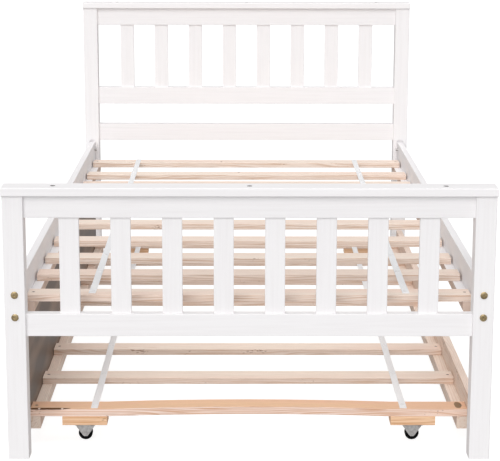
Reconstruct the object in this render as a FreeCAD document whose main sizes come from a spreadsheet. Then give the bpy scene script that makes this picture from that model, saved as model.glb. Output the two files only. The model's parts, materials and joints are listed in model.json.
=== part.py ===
"""Twin platform bed in painted pine, with a pull-out trundle on four rigid casters.

A FreeCAD macro, in millimetres. The bed's own frame: +X across the bed, +Y from the footboard to the
headboard, +Z up, origin on the floor at the middle of the bed. Left is -X. Every piece is one object with
its own Label, which names its STEP file in parts/.
"""
import FreeCAD, Part

import os
import re

import Sketcher

# Driving dimensions: (cell name, value, what it is).
DIMENSIONS = (
    ("bed_width", 1060, "over the outer faces of the posts"),
    ("post_spacing", 1960, "footboard post centre to headboard post centre"),
    ("post_side", 45, "square posts"),
    ("foot_post_height", 591, "footboard posts, under the cap"),
    ("head_post_height", 832, "headboard posts, under the cap"),
    ("post_ease", 2, "rounding of the posts' long edges"),
    ("board_ease", 1.5, "rounding of the boards' long edges"),
    ("cap_thickness", 18, "cap boards"),
    ("cap_depth", 61, "cap boards, front to back"),
    ("cap_proud", 1, "cap past the post at each end"),
    ("rail_thickness", 25, "headboard and footboard rails"),
    ("foot_rail_height", 50, "both footboard rails"),
    ("foot_top_rail_base", 541, "underside of the footboard's top rail"),
    ("foot_bottom_rail_base", 278, "underside of the footboard's bottom rail"),
    ("head_rail_height", 55, "all three headboard rails"),
    ("head_top_rail_base", 777, "underside of the headboard's top rail"),
    ("head_middle_rail_base", 519, "underside of the headboard's middle rail"),
    ("head_lower_rail_base", 398, "underside of the headboard's lower rail"),
    ("tenon_length", 12, "stub tenon at each rail end"),
    ("tenon_thickness", 14, "stub tenon, front to back"),
    ("tenon_shoulder", 6, "rail height taken off above and below the tenon"),
    ("spindle_count", 8, "spindles in each board"),
    ("spindle_pitch", 111.2, "spindle to spindle"),
    ("spindle_width", 43.5, "across the bed"),
    ("spindle_thickness", 12, "front to back"),
    ("housing_depth", 8, "spindle end let into each rail"),
    ("side_rail_base", 300, "underside of the side rails"),
    ("side_rail_height", 94, "side rails"),
    ("side_rail_thickness", 18, "side rails"),
    ("mortise_depth", 8, "side rail end let into the post"),
    ("mortise_play", 0.5, "gap all round the side rail's end"),
    ("mortise_radius", 9.5, "half the width of the routed mortise"),
    ("mortise_below", 8.5, "routed mortise past the side rail's underside"),
    ("mortise_above", 8.5, "routed mortise past the side rail's top"),
    ("bolt_base", 322.5, "height of the lower connector bolts"),
    ("bolt_rise", 50, "lower to upper connector bolt"),
    ("bolt_shank", 6, "connector bolt diameter"),
    ("bolt_length", 78, "connector bolt under its head"),
    ("bolt_head", 16, "connector bolt head diameter"),
    ("bolt_head_height", 2.6, "connector bolt head"),
    ("bolt_socket", 5, "diameter of the hex socket's round bottom"),
    ("bolt_bore", 7, "bolt hole through post and rail end"),
    ("bolt_bore_depth", 46, "bolt hole in the rail's end"),
    ("nut_diameter", 10, "barrel nut"),
    ("nut_length", 14, "barrel nut"),
    ("nut_bore", 6.2, "threaded hole through the barrel nut, drawn plain"),
    ("nut_setback", 32, "rail's end to the barrel nut's centre"),
    ("ledger_side", 22, "bed ledgers, square"),
    ("ledger_lift", 10.5, "bed ledger's underside above the side rail's"),
    ("ledger_length", 1805, "bed ledgers"),
    ("bed_slat_length", 988, "bed slats"),
    ("bed_slat_width", 57, "bed slats"),
    ("bed_slat_thickness", 15.5, "bed slats"),
    ("bed_slat_start", -874, "centre line of the slat nearest the footboard"),
    ("bed_slat_pitch", 190.9, "bed slat to bed slat"),
    ("bed_slat_count", 10, "bed slats"),
    ("strap_width", 16, "webbing straps"),
    ("strap_thickness", 1.2, "webbing straps"),
    ("strap_gap", 0.2, "strap clear of the wood"),
    ("strap_place", 350, "strap from the bed's middle line"),
    ("bed_strap_setback", 12, "bed strap's front end behind the first slat's front edge"),
    ("trundle_strap_setback", 3, "trundle strap's front end behind the first slat's front edge"),
    ("staple_crown", 10, "staples across the straps"),
    ("staple_wire", 1.0, "staples"),
    ("staple_leg", 8, "staple under its crown"),
    ("trundle_base", 32.5, "underside of the trundle's ledgers and back rail"),
    ("trundle_length", 1781, "trundle, over its end slats"),
    ("trundle_ledger_height", 28.5, "trundle ledgers"),
    ("trundle_ledger_width", 24, "trundle ledgers"),
    ("trundle_half_width", 495.5, "middle line to the inner face of panel and back rail"),
    ("trundle_slat_play", 1, "slat end to the panel or the back rail"),
    ("trundle_slat_width", 58, "trundle slats"),
    ("trundle_slat_thickness", 15.5, "trundle slats"),
    ("trundle_slat_start", -616.6, "centre line of the second slat"),
    ("trundle_slat_pitch", 246.4, "trundle slat to trundle slat"),
    ("plain_slat_count", 7, "trundle slats behind the thicker first one"),
    ("front_slat_width", 55, "thicker first slat, which carries two casters"),
    ("front_slat_thickness", 18, "thicker first slat"),
    ("front_slat_crown", 5.5, "rise of the first slat's middle"),
    ("front_slat_flat", 322, "middle line to where the rise starts"),
    ("panel_base", 25, "underside of the trundle's front panel"),
    ("panel_height", 262, "trundle's front panel"),
    ("panel_thickness", 16, "trundle's front panel"),
    ("panel_overlap", 4, "panel past the end slats"),
    ("back_rail_height", 78, "trundle's back rail"),
    ("back_rail_thickness", 18, "trundle's back rail"),
    ("caster_place", 372, "caster from the middle line"),
    ("caster_block_length", 101, "caster blocks"),
    ("caster_block_depth", 50, "caster blocks"),
    ("caster_height", 40, "floor to the top of the caster's plate"),
    ("caster_plate_length", 46, "caster plate, across the bed"),
    ("caster_plate_depth", 44, "caster plate, along the bed"),
    ("caster_sheet", 1.5, "thickness of the pressed caster bracket"),
    ("cheek_gap", 16, "between the bracket's two cheeks"),
    ("cheek_tip", 7, "radius of the cheek round the axle"),
    ("wheel_radius", 16, "caster wheel"),
    ("wheel_width", 14, "caster wheel's tread"),
    ("hub_width", 15, "caster wheel's hub"),
    ("hub_radius", 7, "caster wheel's hub"),
    ("wheel_bore_radius", 2.55, "running fit on the axle"),
    ("axle_radius", 2.5, "riveted axle"),
    ("rivet_head_radius", 4, "riveted axle's ends"),
    ("rivet_head_height", 1.2, "riveted axle's ends"),
    ("caster_screw_spread", 32, "caster screws, square pattern"),
    ("screw_shank", 3.6, "wood screw diameter"),
    ("screw_head", 7.6, "countersunk or pan head diameter"),
    ("screw_sink", 0.3, "countersunk head below the wood's face"),
    ("slat_screw_length", 34, "screws through the slats"),
    ("slat_screw_inset", 11.5, "slat's end to its screw"),
    ("ledger_screw_length", 32, "screws through the bed's ledgers"),
    ("ledger_screw_pitch", 420, "screws along the bed's ledgers"),
    ("ledger_screw_count", 5, "screws along each of the bed's ledgers"),
    ("trundle_screw_pitch", 320, "screws along the trundle's ledgers"),
    ("trundle_screw_count", 6, "screws along each of the trundle's ledgers"),
    ("trundle_screw_length", 34, "screws through the trundle's ledgers"),
    ("caster_screw_length", 16, "caster screws under their heads"),
    ("cap_screw_place", 422, "outer cap screws from the middle line"),
    ("cap_screw_head", 9.5, "cap screw head diameter"),
    ("cap_screw_length", 45, "cap screws"),
    ("cap_bore", 12, "counterbore in the cap"),
    ("cap_bore_depth", 5, "counterbore in the cap"),
    ("screw_clearance", 4.2, "hole for a wood screw's shank"),
)

NUMBERS = {name: number for name, number, _ in DIMENSIONS}

# Slats between the first and the last lie loose on the ledgers and have slid a little: number, shift.
SLID_SLATS = {3: -19, 4: -18, 9: -27}

# A long flat arc that a bowed side is drawn as before its constraints move it: radius, first and last angle.
FIRST_ARC = (9400, 1.54, 1.60)

# Places worked out from the cells, in words that every expression below shares.
POST_X = "(bed_width - post_side) / 2"
BOARD_Y = "post_spacing / 2"
CLEAR_WIDTH = "(bed_width - 2 * post_side)"
CLEAR_LENGTH = "(post_spacing - post_side)"
RAIL_FACE_X = f"({POST_X} - side_rail_thickness / 2)"
RAIL_REACH = f"({CLEAR_LENGTH} / 2 + mortise_depth - mortise_play)"
BED_LEDGER_TOP = "(side_rail_base + ledger_lift + ledger_side)"
BED_SLAT_TOP = f"({BED_LEDGER_TOP} + bed_slat_thickness)"
TRUNDLE_LEDGER_TOP = "(trundle_base + trundle_ledger_height)"
TRUNDLE_SLAT_TOP = f"({TRUNDLE_LEDGER_TOP} + trundle_slat_thickness)"
FRONT_SLAT_TOP = f"({TRUNDLE_LEDGER_TOP} + front_slat_thickness)"
CASTER_Y = "(trundle_length / 2 - caster_block_depth / 2)"
SLAT_SCREW_X = "(trundle_half_width - trundle_slat_play - slat_screw_inset)"

doc = FreeCAD.newDocument("trundle_bed")
sheet = doc.addObject("Spreadsheet::Sheet", "Sizes")
pieces = []


def fill_sheet():
    """Write every driving dimension into the sheet, with its name and its meaning."""
    for row, (name, number, meaning) in enumerate(DIMENSIONS, start=1):
        sheet.set(f"A{row}", meaning)
        sheet.set(f"B{row}", str(number))
        sheet.setAlias(f"B{row}", name)
    doc.recompute()


def cells(expression):
    """Turn bare cell names in an expression into references to the sheet."""
    return re.sub(r"[a-z][a-z_]*", lambda name: f"{sheet.Name}.{name.group(0)}", str(expression))


# ---------------------------------------------------------------- drawing helpers

def new_piece(label, place=("0", "0", "0")):
    """One sub-part: a body named for its node, standing where its expressions say."""
    body = doc.addObject("PartDesign::Body", label)
    body.Label = label
    for axis, expression in zip("xyz", place):
        body.setExpression(f"Placement.Base.{axis}", cells(expression))
    pieces.append(body)
    return body


def origin_feature(body, role):
    """The body's own origin plane or axis with this role."""
    return next(feature for feature in body.Origin.OriginFeatures if feature.Role == role)


def new_sketch(body, role, offset=("0", "0", "0")):
    """A sketch on one of the body's origin planes, moved by offset in the plane's own directions."""
    sketch = body.newObject("Sketcher::SketchObject", f"{body.Label}_sketch")
    sketch.AttachmentSupport = (origin_feature(body, role), [""])
    sketch.MapMode = "FlatFace"
    for axis, expression in zip("xyz", offset):
        sketch.setExpression(f"AttachmentOffset.Base.{axis}", cells(expression))
    return sketch


def pin_down(sketch, geometry, position, point):
    """Fix one point of a sketch by two named distances from the sketch's origin."""
    now = sketch.getPoint(geometry, position)
    for kind, letter, start, expression in (("DistanceX", "u", now.x, point[0]),
                                            ("DistanceY", "v", now.y, point[1])):
        index = sketch.addConstraint(Sketcher.Constraint(kind, -1, 1, geometry, position, start))
        name = f"{letter}{geometry}_{position}"
        sketch.renameConstraint(index, name)
        sketch.setExpression(f"Constraints.{name}", cells(expression))


def draw_outline(sketch, points, arcs=None):
    """A closed outline through points. arcs gives a side's radius if that side is bowed upwards."""
    arcs = arcs or {}
    first = sketch.GeometryCount
    count = len(points)
    middle = count / 2
    ends = []
    for side in range(count):
        start = FreeCAD.Vector(side, side * side % 7, 0)
        finish = FreeCAD.Vector(side + 1, (side + 1) * (side + 1) % 7, 0)
        if side in arcs:
            # An arc is kept anticlockwise, so one on the outline's lower half runs from its far end.
            radius, first_angle, last_angle = FIRST_ARC
            circle = Part.Circle(FreeCAD.Vector(0, -radius, 0), FreeCAD.Vector(0, 0, 1), radius)
            sketch.addGeometry(Part.ArcOfCircle(circle, first_angle, last_angle))
            ends.append((2, 1) if side < middle else (1, 2))
        else:
            sketch.addGeometry(Part.LineSegment(start, finish))
            ends.append((1, 2))
    for side, (start, finish) in enumerate(ends):
        following = (side + 1) % count
        sketch.addConstraint(
            Sketcher.Constraint("Coincident", first + side, finish, first + following, ends[following][0]))
        pin_down(sketch, first + side, start, points[side])
    for side, radius in arcs.items():
        index = sketch.addConstraint(Sketcher.Constraint("Radius", first + side, FIRST_ARC[0]))
        sketch.renameConstraint(index, f"radius_{side}")
        sketch.setExpression(f"Constraints.radius_{side}", cells(radius))


def draw_rectangle(sketch, size, centre=("0", "0")):
    """A rectangle of this size round a centre."""
    left, right = (f"{centre[0]} {sign} ({size[0]}) / 2" for sign in "-+")
    low, high = (f"{centre[1]} {sign} ({size[1]}) / 2" for sign in "-+")
    draw_outline(sketch, ((left, low), (right, low), (right, high), (left, high)))


def draw_circle(sketch, diameter, centre=("0", "0")):
    """A circle of this diameter round a centre."""
    geometry = sketch.addGeometry(Part.Circle(FreeCAD.Vector(1, 1, 0), FreeCAD.Vector(0, 0, 1), 1))
    index = sketch.addConstraint(Sketcher.Constraint("Diameter", geometry, 2.0))
    name = f"diameter_{geometry}"
    sketch.renameConstraint(index, name)
    sketch.setExpression(f"Constraints.{name}", cells(diameter))
    pin_down(sketch, geometry, 3, centre)


# ---------------------------------------------------------------- feature helpers

def add_pad(body, sketch, length, symmetric=True):
    """Thicken a sketch, both ways from its plane unless told otherwise."""
    pad = body.newObject("PartDesign::Pad", f"{body.Label}_pad")
    pad.Profile = sketch
    pad.SideType = "Symmetric" if symmetric else "One side"
    pad.setExpression("Length", cells(length))
    doc.recompute()
    return pad


def add_pocket(body, sketch, depth=None, backwards=False):
    """Cut a sketch out of the body, right through if no depth is given, and make sure that it cuts."""
    before = body.Shape.Volume
    pocket = body.newObject("PartDesign::Pocket", f"{body.Label}_pocket")
    pocket.Profile = sketch
    if depth is None:
        pocket.SideType = "Symmetric"
        pocket.Type = "ThroughAll"
    else:
        pocket.SideType = "One side"
        pocket.Reversed = backwards
        pocket.setExpression("Length", cells(depth))
    doc.recompute()
    if not body.Shape.Volume < before - 1:
        raise RuntimeError(f"a pocket in {body.Label} cuts nothing")
    return pocket


def add_revolution(body, sketch, axis):
    """Turn a sketch a full circle about its own horizontal or vertical axis."""
    turned = body.newObject("PartDesign::Revolution", f"{body.Label}_turned")
    turned.Profile = sketch
    turned.ReferenceAxis = (sketch, [axis])
    turned.Angle = 360
    doc.recompute()
    return turned


def long_edges(shape, axis):
    """Names of the straight edges of a shape that run along an axis, x, y or z."""
    names = []
    for number, edge in enumerate(shape.Edges, start=1):
        direction = edge.tangentAt(edge.FirstParameter)
        if edge.Curve.TypeId == "Part::GeomLine" and abs(getattr(direction, axis)) > 0.999:
            names.append(f"Edge{number}")
    return names


def add_ease(body, axis, radius):
    """Round the long edges of the body's last feature."""
    feature = body.Tip
    fillet = body.newObject("PartDesign::Fillet", f"{body.Label}_ease")
    fillet.Base = (feature, long_edges(feature.Shape, axis))
    fillet.setExpression("Radius", cells(radius))
    doc.recompute()
    return fillet


def add_row(body, role, pitch, count, features=None):
    """Repeat features, or the whole shape, along one of the body's axes."""
    row = body.newObject("PartDesign::LinearPattern", f"{body.Label}_row")
    if features is None:
        row.TransformMode = "Whole shape"
    else:
        row.Originals = features
    row.Direction = (origin_feature(body, role), [""])
    row.setExpression("Length", cells(f"({pitch}) * ({count} - 1)"))
    row.setExpression("Occurrences", cells(count))
    body.Tip = row
    doc.recompute()
    return row


def add_mirror(body, role, features=None):
    """Mirror features, or the whole shape, in one of the body's origin planes."""
    mirror = body.newObject("PartDesign::Mirrored", f"{body.Label}_mirror")
    if features is None:
        mirror.TransformMode = "Whole shape"
    else:
        mirror.Originals = features
    mirror.MirrorPlane = (origin_feature(body, role), [""])
    body.Tip = mirror
    doc.recompute()
    return mirror


# What each sketch plane's third direction is: the way a board drawn on it runs.
RUN = {"XY_Plane": "z", "XZ_Plane": "y", "YZ_Plane": "x"}


def board(label, role, section, length, place, ease="board_ease"):
    """A straight board: a rectangle on a plane, thickened both ways, with its long edges eased."""
    body = new_piece(label, place)
    sketch = new_sketch(body, role)
    draw_rectangle(sketch, section)
    add_pad(body, sketch, length)
    add_ease(body, RUN[role], ease)
    return body


# ---------------------------------------------------------------- headboard and footboard

BOARDS = {
    "footboard": {
        "side": -1,
        "height": "foot_post_height",
        "rail_height": "foot_rail_height",
        "rails": {"top_rail": "foot_top_rail_base", "bottom_rail": "foot_bottom_rail_base"},
        "spindles_between": ("bottom_rail", "top_rail"),
    },
    "headboard": {
        "side": 1,
        "height": "head_post_height",
        "rail_height": "head_rail_height",
        "rails": {
            "top_rail": "head_top_rail_base",
            "middle_rail": "head_middle_rail_base",
            "lower_rail": "head_lower_rail_base",
        },
        "spindles_between": ("middle_rail", "top_rail"),
    },
}


def make_post(name, data, side_name, side):
    """A square post: eased edges, tenon mortises, the side rail's routed mortise and two bolt holes."""
    end = data["side"]
    height = data["height"]
    place = (f"{side} * {POST_X}", f"{end} * {BOARD_Y}", f"{height} / 2")
    body = board(f"{name}_post_{side_name}", "XY_Plane", ("post_side", "post_side"), height, place,
                 ease="post_ease")

    # Tenon mortises, cut from the face that looks at the other post.
    sketch = new_sketch(body, "YZ_Plane", ("0", f"-{height} / 2", f"{-side} * post_side / 2"))
    for base in data["rails"].values():
        draw_rectangle(sketch, ("tenon_thickness", f"{data['rail_height']} - 2 * tenon_shoulder"),
                       ("0", f"{base} + {data['rail_height']} / 2"))
    add_pocket(body, sketch, "tenon_length", backwards=side > 0)

    # The side rail's mortise: a slot with round ends, cut from the face that looks along the bed.
    inner_face = ("0", f"-{height} / 2", f"{end} * post_side / 2")
    low = "side_rail_base - mortise_below + mortise_radius"
    high = "side_rail_base + side_rail_height + mortise_above - mortise_radius"
    sketch = new_sketch(body, "XZ_Plane", inner_face)
    draw_rectangle(sketch, ("2 * mortise_radius", f"({high}) - ({low})"), ("0", f"(({high}) + ({low})) / 2"))
    add_pocket(body, sketch, "mortise_depth", backwards=end < 0)
    for round_end in (low, high):
        sketch = new_sketch(body, "XZ_Plane", inner_face)
        draw_circle(sketch, "2 * mortise_radius", ("0", round_end))
        add_pocket(body, sketch, "mortise_depth", backwards=end < 0)

    # Bolt holes, right through.
    sketch = new_sketch(body, "XZ_Plane", ("0", f"-{height} / 2", "0"))
    for bolt in ("bolt_base", "bolt_base + bolt_rise"):
        draw_circle(sketch, "bolt_bore", ("0", bolt))
    add_pocket(body, sketch)


def make_rail(name, data, rail, base):
    """A rail between the posts: stub tenons, and housings where spindles meet it."""
    height = data["rail_height"]
    place = ("0", f"{data['side']} * {BOARD_Y}", f"{base} + {height} / 2")
    body = board(f"{name}_{rail}", "YZ_Plane", ("rail_thickness", height), CLEAR_WIDTH, place)

    sketch = new_sketch(body, "YZ_Plane")
    draw_rectangle(sketch, ("tenon_thickness", f"{height} - 2 * tenon_shoulder"))
    add_pad(body, sketch, f"{CLEAR_WIDTH} + 2 * tenon_length")

    if rail in data["spindles_between"]:
        is_top = rail == "top_rail"
        face = f"{'-' if is_top else ''}{height} / 2"
        sketch = new_sketch(body, "XY_Plane", ("0", "0", face))
        draw_rectangle(sketch, ("spindle_width", "spindle_thickness"),
                       ("-spindle_pitch * (spindle_count - 1) / 2", "0"))
        housing = add_pocket(body, sketch, "housing_depth", backwards=is_top)
        add_row(body, "X_Axis", "spindle_pitch", "spindle_count", [housing])


def make_spindles(name, data):
    """Eight flat spindles, housed in the rails above and below them."""
    low_rail, high_rail = data["spindles_between"]
    low = f"{data['rails'][low_rail]} + {data['rail_height']} - housing_depth"
    high = f"{data['rails'][high_rail]} + housing_depth"
    place = ("-spindle_pitch * (spindle_count - 1) / 2", f"{data['side']} * {BOARD_Y}",
             f"(({low}) + ({high})) / 2")
    body = board(f"{name}_spindles", "XY_Plane", ("spindle_width", "spindle_thickness"),
                 f"({high}) - ({low})", place, ease="board_ease")
    add_row(body, "X_Axis", "spindle_pitch", "spindle_count")


def make_cap(name, data):
    """The cap board over posts and top rail, with three counterbored screw holes."""
    place = ("0", f"{data['side']} * {BOARD_Y}", f"{data['height']} + cap_thickness / 2")
    body = board(f"{name}_cap", "YZ_Plane", ("cap_depth", "cap_thickness"),
                 "bed_width + 2 * cap_proud", place, ease="post_ease")
    for diameter, depth in (("cap_bore", "cap_bore_depth"), ("screw_clearance", "cap_thickness")):
        sketch = new_sketch(body, "XY_Plane", ("0", "0", "cap_thickness / 2"))
        for centre in ("-cap_screw_place", "0", "cap_screw_place"):
            draw_circle(sketch, diameter, (centre, "0"))
        add_pocket(body, sketch, depth)


def make_boards():
    """Headboard and footboard, each of posts, rails, spindles and a cap."""
    for name, data in BOARDS.items():
        for side_name, side in (("left", -1), ("right", 1)):
            make_post(name, data, side_name, side)
        for rail, base in data["rails"].items():
            make_rail(name, data, rail, base)
        make_spindles(name, data)
        make_cap(name, data)


# ---------------------------------------------------------------- side rails, ledgers, slats

def make_side_rail(side_name, side):
    """A side rail, bored at each end for two bolts and, from its inner face, for two barrel nuts."""
    middle = "(side_rail_base + side_rail_height / 2)"
    body = board(f"side_rail_{side_name}", "XZ_Plane", ("side_rail_thickness", "side_rail_height"),
                 f"2 * {RAIL_REACH}", (f"{side} * {POST_X}", "0", middle))
    bolts = (f"bolt_base - {middle}", f"bolt_base + bolt_rise - {middle}")

    sketch = new_sketch(body, "XZ_Plane", ("0", "0", RAIL_REACH))
    for bolt in bolts:
        draw_circle(sketch, "bolt_bore", ("0", bolt))
    bores = add_pocket(body, sketch, "bolt_bore_depth")
    add_mirror(body, "XZ_Plane", [bores])

    sketch = new_sketch(body, "YZ_Plane", ("0", "0", f"{-side} * side_rail_thickness / 2"))
    for bolt in bolts:
        draw_circle(sketch, "nut_diameter + 0.2", (f"nut_setback - {RAIL_REACH}", bolt))
    holes = add_pocket(body, sketch, "nut_length + 0.5", backwards=side > 0)
    add_mirror(body, "XZ_Plane", [holes])


def make_bed_ledger(side_name, side):
    """The cleat on a side rail's inner face that carries the slat ends."""
    body = board(f"bed_ledger_{side_name}", "XZ_Plane", ("ledger_side", "ledger_side"), "ledger_length",
                 (f"{side} * ({RAIL_FACE_X} - ledger_side / 2)", "0", f"{BED_LEDGER_TOP} - ledger_side / 2"))
    sketch = new_sketch(body, "YZ_Plane")
    draw_circle(sketch, "screw_clearance", ("-(ledger_screw_count - 1) / 2 * ledger_screw_pitch", "0"))
    hole = add_pocket(body, sketch)
    add_row(body, "Y_Axis", "ledger_screw_pitch", "ledger_screw_count", [hole])


def drill_slat_ends(body, reach, thickness):
    """A countersunk screw hole near each end of a slat."""
    holes = new_sketch(body, "XY_Plane")
    for side in ("-", ""):
        draw_circle(holes, "screw_clearance", (f"{side}({reach})", "0"))
    add_pocket(body, holes)
    for side in ("-", ""):
        sketch = new_sketch(body, "XZ_Plane", (f"{side}({reach})", f"({thickness}) / 2", "0"))
        draw_outline(sketch, (("0", "0"), ("screw_head / 2 + 0.2", "0"), ("0", "-screw_head / 2 - 0.2")))
        groove = body.newObject("PartDesign::Groove", f"{body.Label}_countersink")
        groove.Profile = sketch
        groove.ReferenceAxis = (sketch, ["V_Axis"])
        groove.Angle = 360
    doc.recompute()


def make_bed_slats():
    """Ten slats on the ledgers. Only the first and the last are screwed down."""
    last = NUMBERS["bed_slat_count"]
    for number in range(1, last + 1):
        shift = SLID_SLATS.get(number, 0)
        place = ("0", f"bed_slat_start + {number - 1} * bed_slat_pitch + ({shift})",
                 f"{BED_LEDGER_TOP} + bed_slat_thickness / 2")
        body = board(f"bed_slat_{number:02d}", "YZ_Plane", ("bed_slat_width", "bed_slat_thickness"),
                     "bed_slat_length", place)
        if number in (1, last):
            drill_slat_ends(body, "bed_slat_length / 2 - slat_screw_inset", "bed_slat_thickness")


def make_strap(label, side, points):
    """A webbing strap: a thin ribbon drawn from the side and given its width."""
    body = new_piece(label, (f"{side} * strap_place", "0", "0"))
    sketch = new_sketch(body, "YZ_Plane")
    draw_outline(sketch, points)
    add_pad(body, sketch, "strap_width")


def bed_strap_points():
    """Side view of a bed strap: flat over all the slats."""
    front = "(bed_slat_start - bed_slat_width / 2 + bed_strap_setback)"
    back = "(bed_slat_start + (bed_slat_count - 1) * bed_slat_pitch + bed_slat_width / 2)"
    under = f"({BED_SLAT_TOP} + strap_gap)"
    return (
        (front, under),
        (back, under),
        (back, f"{under} + strap_thickness"),
        (front, f"{under} + strap_thickness"),
    )


def trundle_strap_points():
    """Side view of a trundle strap: it comes off the thicker front slat down to the others."""
    front = "(trundle_strap_setback - trundle_length / 2)"
    front_back = "(front_slat_width - trundle_length / 2)"
    second_front = "(trundle_slat_start - trundle_slat_width / 2)"
    back = "(trundle_slat_start + (plain_slat_count - 1) * trundle_slat_pitch + trundle_slat_width / 2)"
    high = f"({FRONT_SLAT_TOP} + strap_gap)"
    low = f"({TRUNDLE_SLAT_TOP} + strap_gap)"
    return (
        (front, high),
        (front_back, high),
        (second_front, low),
        (back, low),
        (back, f"{low} + strap_thickness"),
        (second_front, f"{low} + strap_thickness"),
        (front_back, f"{high} + strap_thickness"),
        (front, f"{high} + strap_thickness"),
    )


def make_bed_deck():
    """Side rails, ledgers, slats and straps."""
    for side_name, side in (("left", -1), ("right", 1)):
        make_side_rail(side_name, side)
        make_bed_ledger(side_name, side)
        make_strap(f"bed_strap_{side_name}", side, bed_strap_points())
    make_bed_slats()


# ---------------------------------------------------------------- trundle

def make_trundle_slats():
    """The thicker, slightly crowned front slat and seven plain ones, each with a screw at both ends."""
    length = "2 * (trundle_half_width - trundle_slat_play)"
    reach = "trundle_half_width - trundle_slat_play"
    body = new_piece("trundle_slat_1", ("0", "(front_slat_width - trundle_length) / 2", TRUNDLE_LEDGER_TOP))
    sketch = new_sketch(body, "XZ_Plane")
    under = [(f"-({reach})", "0"), ("-front_slat_flat", "0"), ("front_slat_flat", "0"), (reach, "0")]
    over = [(along, f"{rise} + front_slat_thickness") for along, rise in reversed(under)]
    bow = "(front_slat_flat * front_slat_flat / front_slat_crown + front_slat_crown) / 2"
    draw_outline(sketch, under + over, arcs={1: bow, 5: bow})
    add_pad(body, sketch, "front_slat_width")
    add_ease(body, "x", "board_ease")
    drill_slat_ends(body, SLAT_SCREW_X, "2 * front_slat_thickness")

    for behind in range(NUMBERS["plain_slat_count"]):
        place = ("0", f"trundle_slat_start + {behind} * trundle_slat_pitch",
                 f"{TRUNDLE_LEDGER_TOP} + trundle_slat_thickness / 2")
        body = board(f"trundle_slat_{behind + 2}", "YZ_Plane", ("trundle_slat_width", "trundle_slat_thickness"),
                     length, place)
        drill_slat_ends(body, SLAT_SCREW_X, "trundle_slat_thickness")


def make_trundle_frame():
    """Front panel, back rail and the ledger inside each of them."""
    middle = f"{TRUNDLE_LEDGER_TOP} - trundle_ledger_height / 2"
    board("trundle_front_panel", "XZ_Plane", ("panel_thickness", "panel_height"),
          "trundle_length + 2 * panel_overlap",
          ("-trundle_half_width - panel_thickness / 2", "0", "panel_base + panel_height / 2"))
    board("trundle_back_rail", "XZ_Plane", ("back_rail_thickness", "back_rail_height"), "trundle_length",
          ("trundle_half_width + back_rail_thickness / 2", "0", "trundle_base + back_rail_height / 2"))
    for side_name, side in (("left", -1), ("right", 1)):
        body = board(f"trundle_ledger_{side_name}", "XZ_Plane",
                     ("trundle_ledger_width", "trundle_ledger_height"), "trundle_length",
                     (f"{side} * (trundle_half_width - trundle_ledger_width / 2)", "0", middle))
        sketch = new_sketch(body, "YZ_Plane")
        draw_circle(sketch, "screw_clearance", ("-(trundle_screw_count - 1) / 2 * trundle_screw_pitch", "0"))
        hole = add_pocket(body, sketch)
        add_row(body, "Y_Axis", "trundle_screw_pitch", "trundle_screw_count", [hole])
        make_strap(f"trundle_strap_{side_name}", side, trundle_strap_points())


# ---------------------------------------------------------------- casters

def spread_to_casters(body):
    """Repeat a shape made at the first caster at the other three."""
    add_row(body, "X_Axis", "2 * caster_place", "2")
    add_row(body, "Y_Axis", f"2 * {CASTER_Y}", "2")


def first_caster(height):
    """Where the front left caster's parts start, at a height."""
    return ("-caster_place", f"-{CASTER_Y}", height)


def make_caster_blocks():
    """Blocks glued under the end slats, which the casters are screwed to."""
    height = f"({TRUNDLE_LEDGER_TOP} - caster_height)"
    body = board("caster_blocks", "YZ_Plane", ("caster_block_depth", height), "caster_block_length",
                 first_caster(f"caster_height + {height} / 2"))
    spread_to_casters(body)


def make_caster_brackets():
    """Pressed steel brackets: a top plate and two cheeks that narrow to the axle."""
    body = new_piece("caster_brackets", first_caster("wheel_radius"))
    top = "(caster_height - wheel_radius)"
    cheeks = new_sketch(body, "XZ_Plane")
    draw_outline(cheeks, (
        ("-caster_plate_length / 2", top),
        ("-caster_plate_length / 2", f"{top} - 4"),
        ("-cheek_tip", "-cheek_tip / 2"),
        ("-cheek_tip / 2", "-cheek_tip"),
        ("cheek_tip / 2", "-cheek_tip"),
        ("cheek_tip", "-cheek_tip / 2"),
        ("caster_plate_length / 2", f"{top} - 4"),
        ("caster_plate_length / 2", top),
    ))
    add_pad(body, cheeks, "cheek_gap + 2 * caster_sheet")
    hollow = new_sketch(body, "YZ_Plane")
    draw_outline(hollow, (
        ("-cheek_gap / 2", "-2 * wheel_radius"),
        ("cheek_gap / 2", "-2 * wheel_radius"),
        ("cheek_gap / 2", f"{top} - caster_sheet"),
        ("-cheek_gap / 2", f"{top} - caster_sheet"),
    ))
    add_pocket(body, hollow)
    plate = new_sketch(body, "XY_Plane", ("0", "0", top))
    draw_rectangle(plate, ("caster_plate_length", "caster_plate_depth"))
    add_pad(body, plate, "-caster_sheet", symmetric=False)
    bores = new_sketch(body, "XZ_Plane")
    draw_circle(bores, "2 * axle_radius")
    add_pocket(body, bores)
    screws = new_sketch(body, "XY_Plane", ("0", "0", top))
    for across in ("-", ""):
        for along in ("-", ""):
            draw_circle(screws, "screw_clearance",
                        (f"{across}caster_screw_spread / 2", f"{along}caster_screw_spread / 2"))
    add_pocket(body, screws, "2 * caster_sheet")
    spread_to_casters(body)


def make_axles():
    """Riveted axles across the bracket cheeks."""
    body = new_piece("caster_axles", first_caster("wheel_radius"))
    half = "(cheek_gap / 2 + caster_sheet)"
    sketch = new_sketch(body, "YZ_Plane")
    draw_outline(sketch, (
        (f"-{half} - rivet_head_height", "0"),
        (f"{half} + rivet_head_height", "0"),
        (f"{half} + rivet_head_height", "rivet_head_radius - 1"),
        (half, "rivet_head_radius"),
        (half, "axle_radius"),
        (f"-{half}", "axle_radius"),
        (f"-{half}", "rivet_head_radius"),
        (f"-{half} - rivet_head_height", "rivet_head_radius - 1"),
    ))
    add_revolution(body, sketch, "H_Axis")
    spread_to_casters(body)


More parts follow.
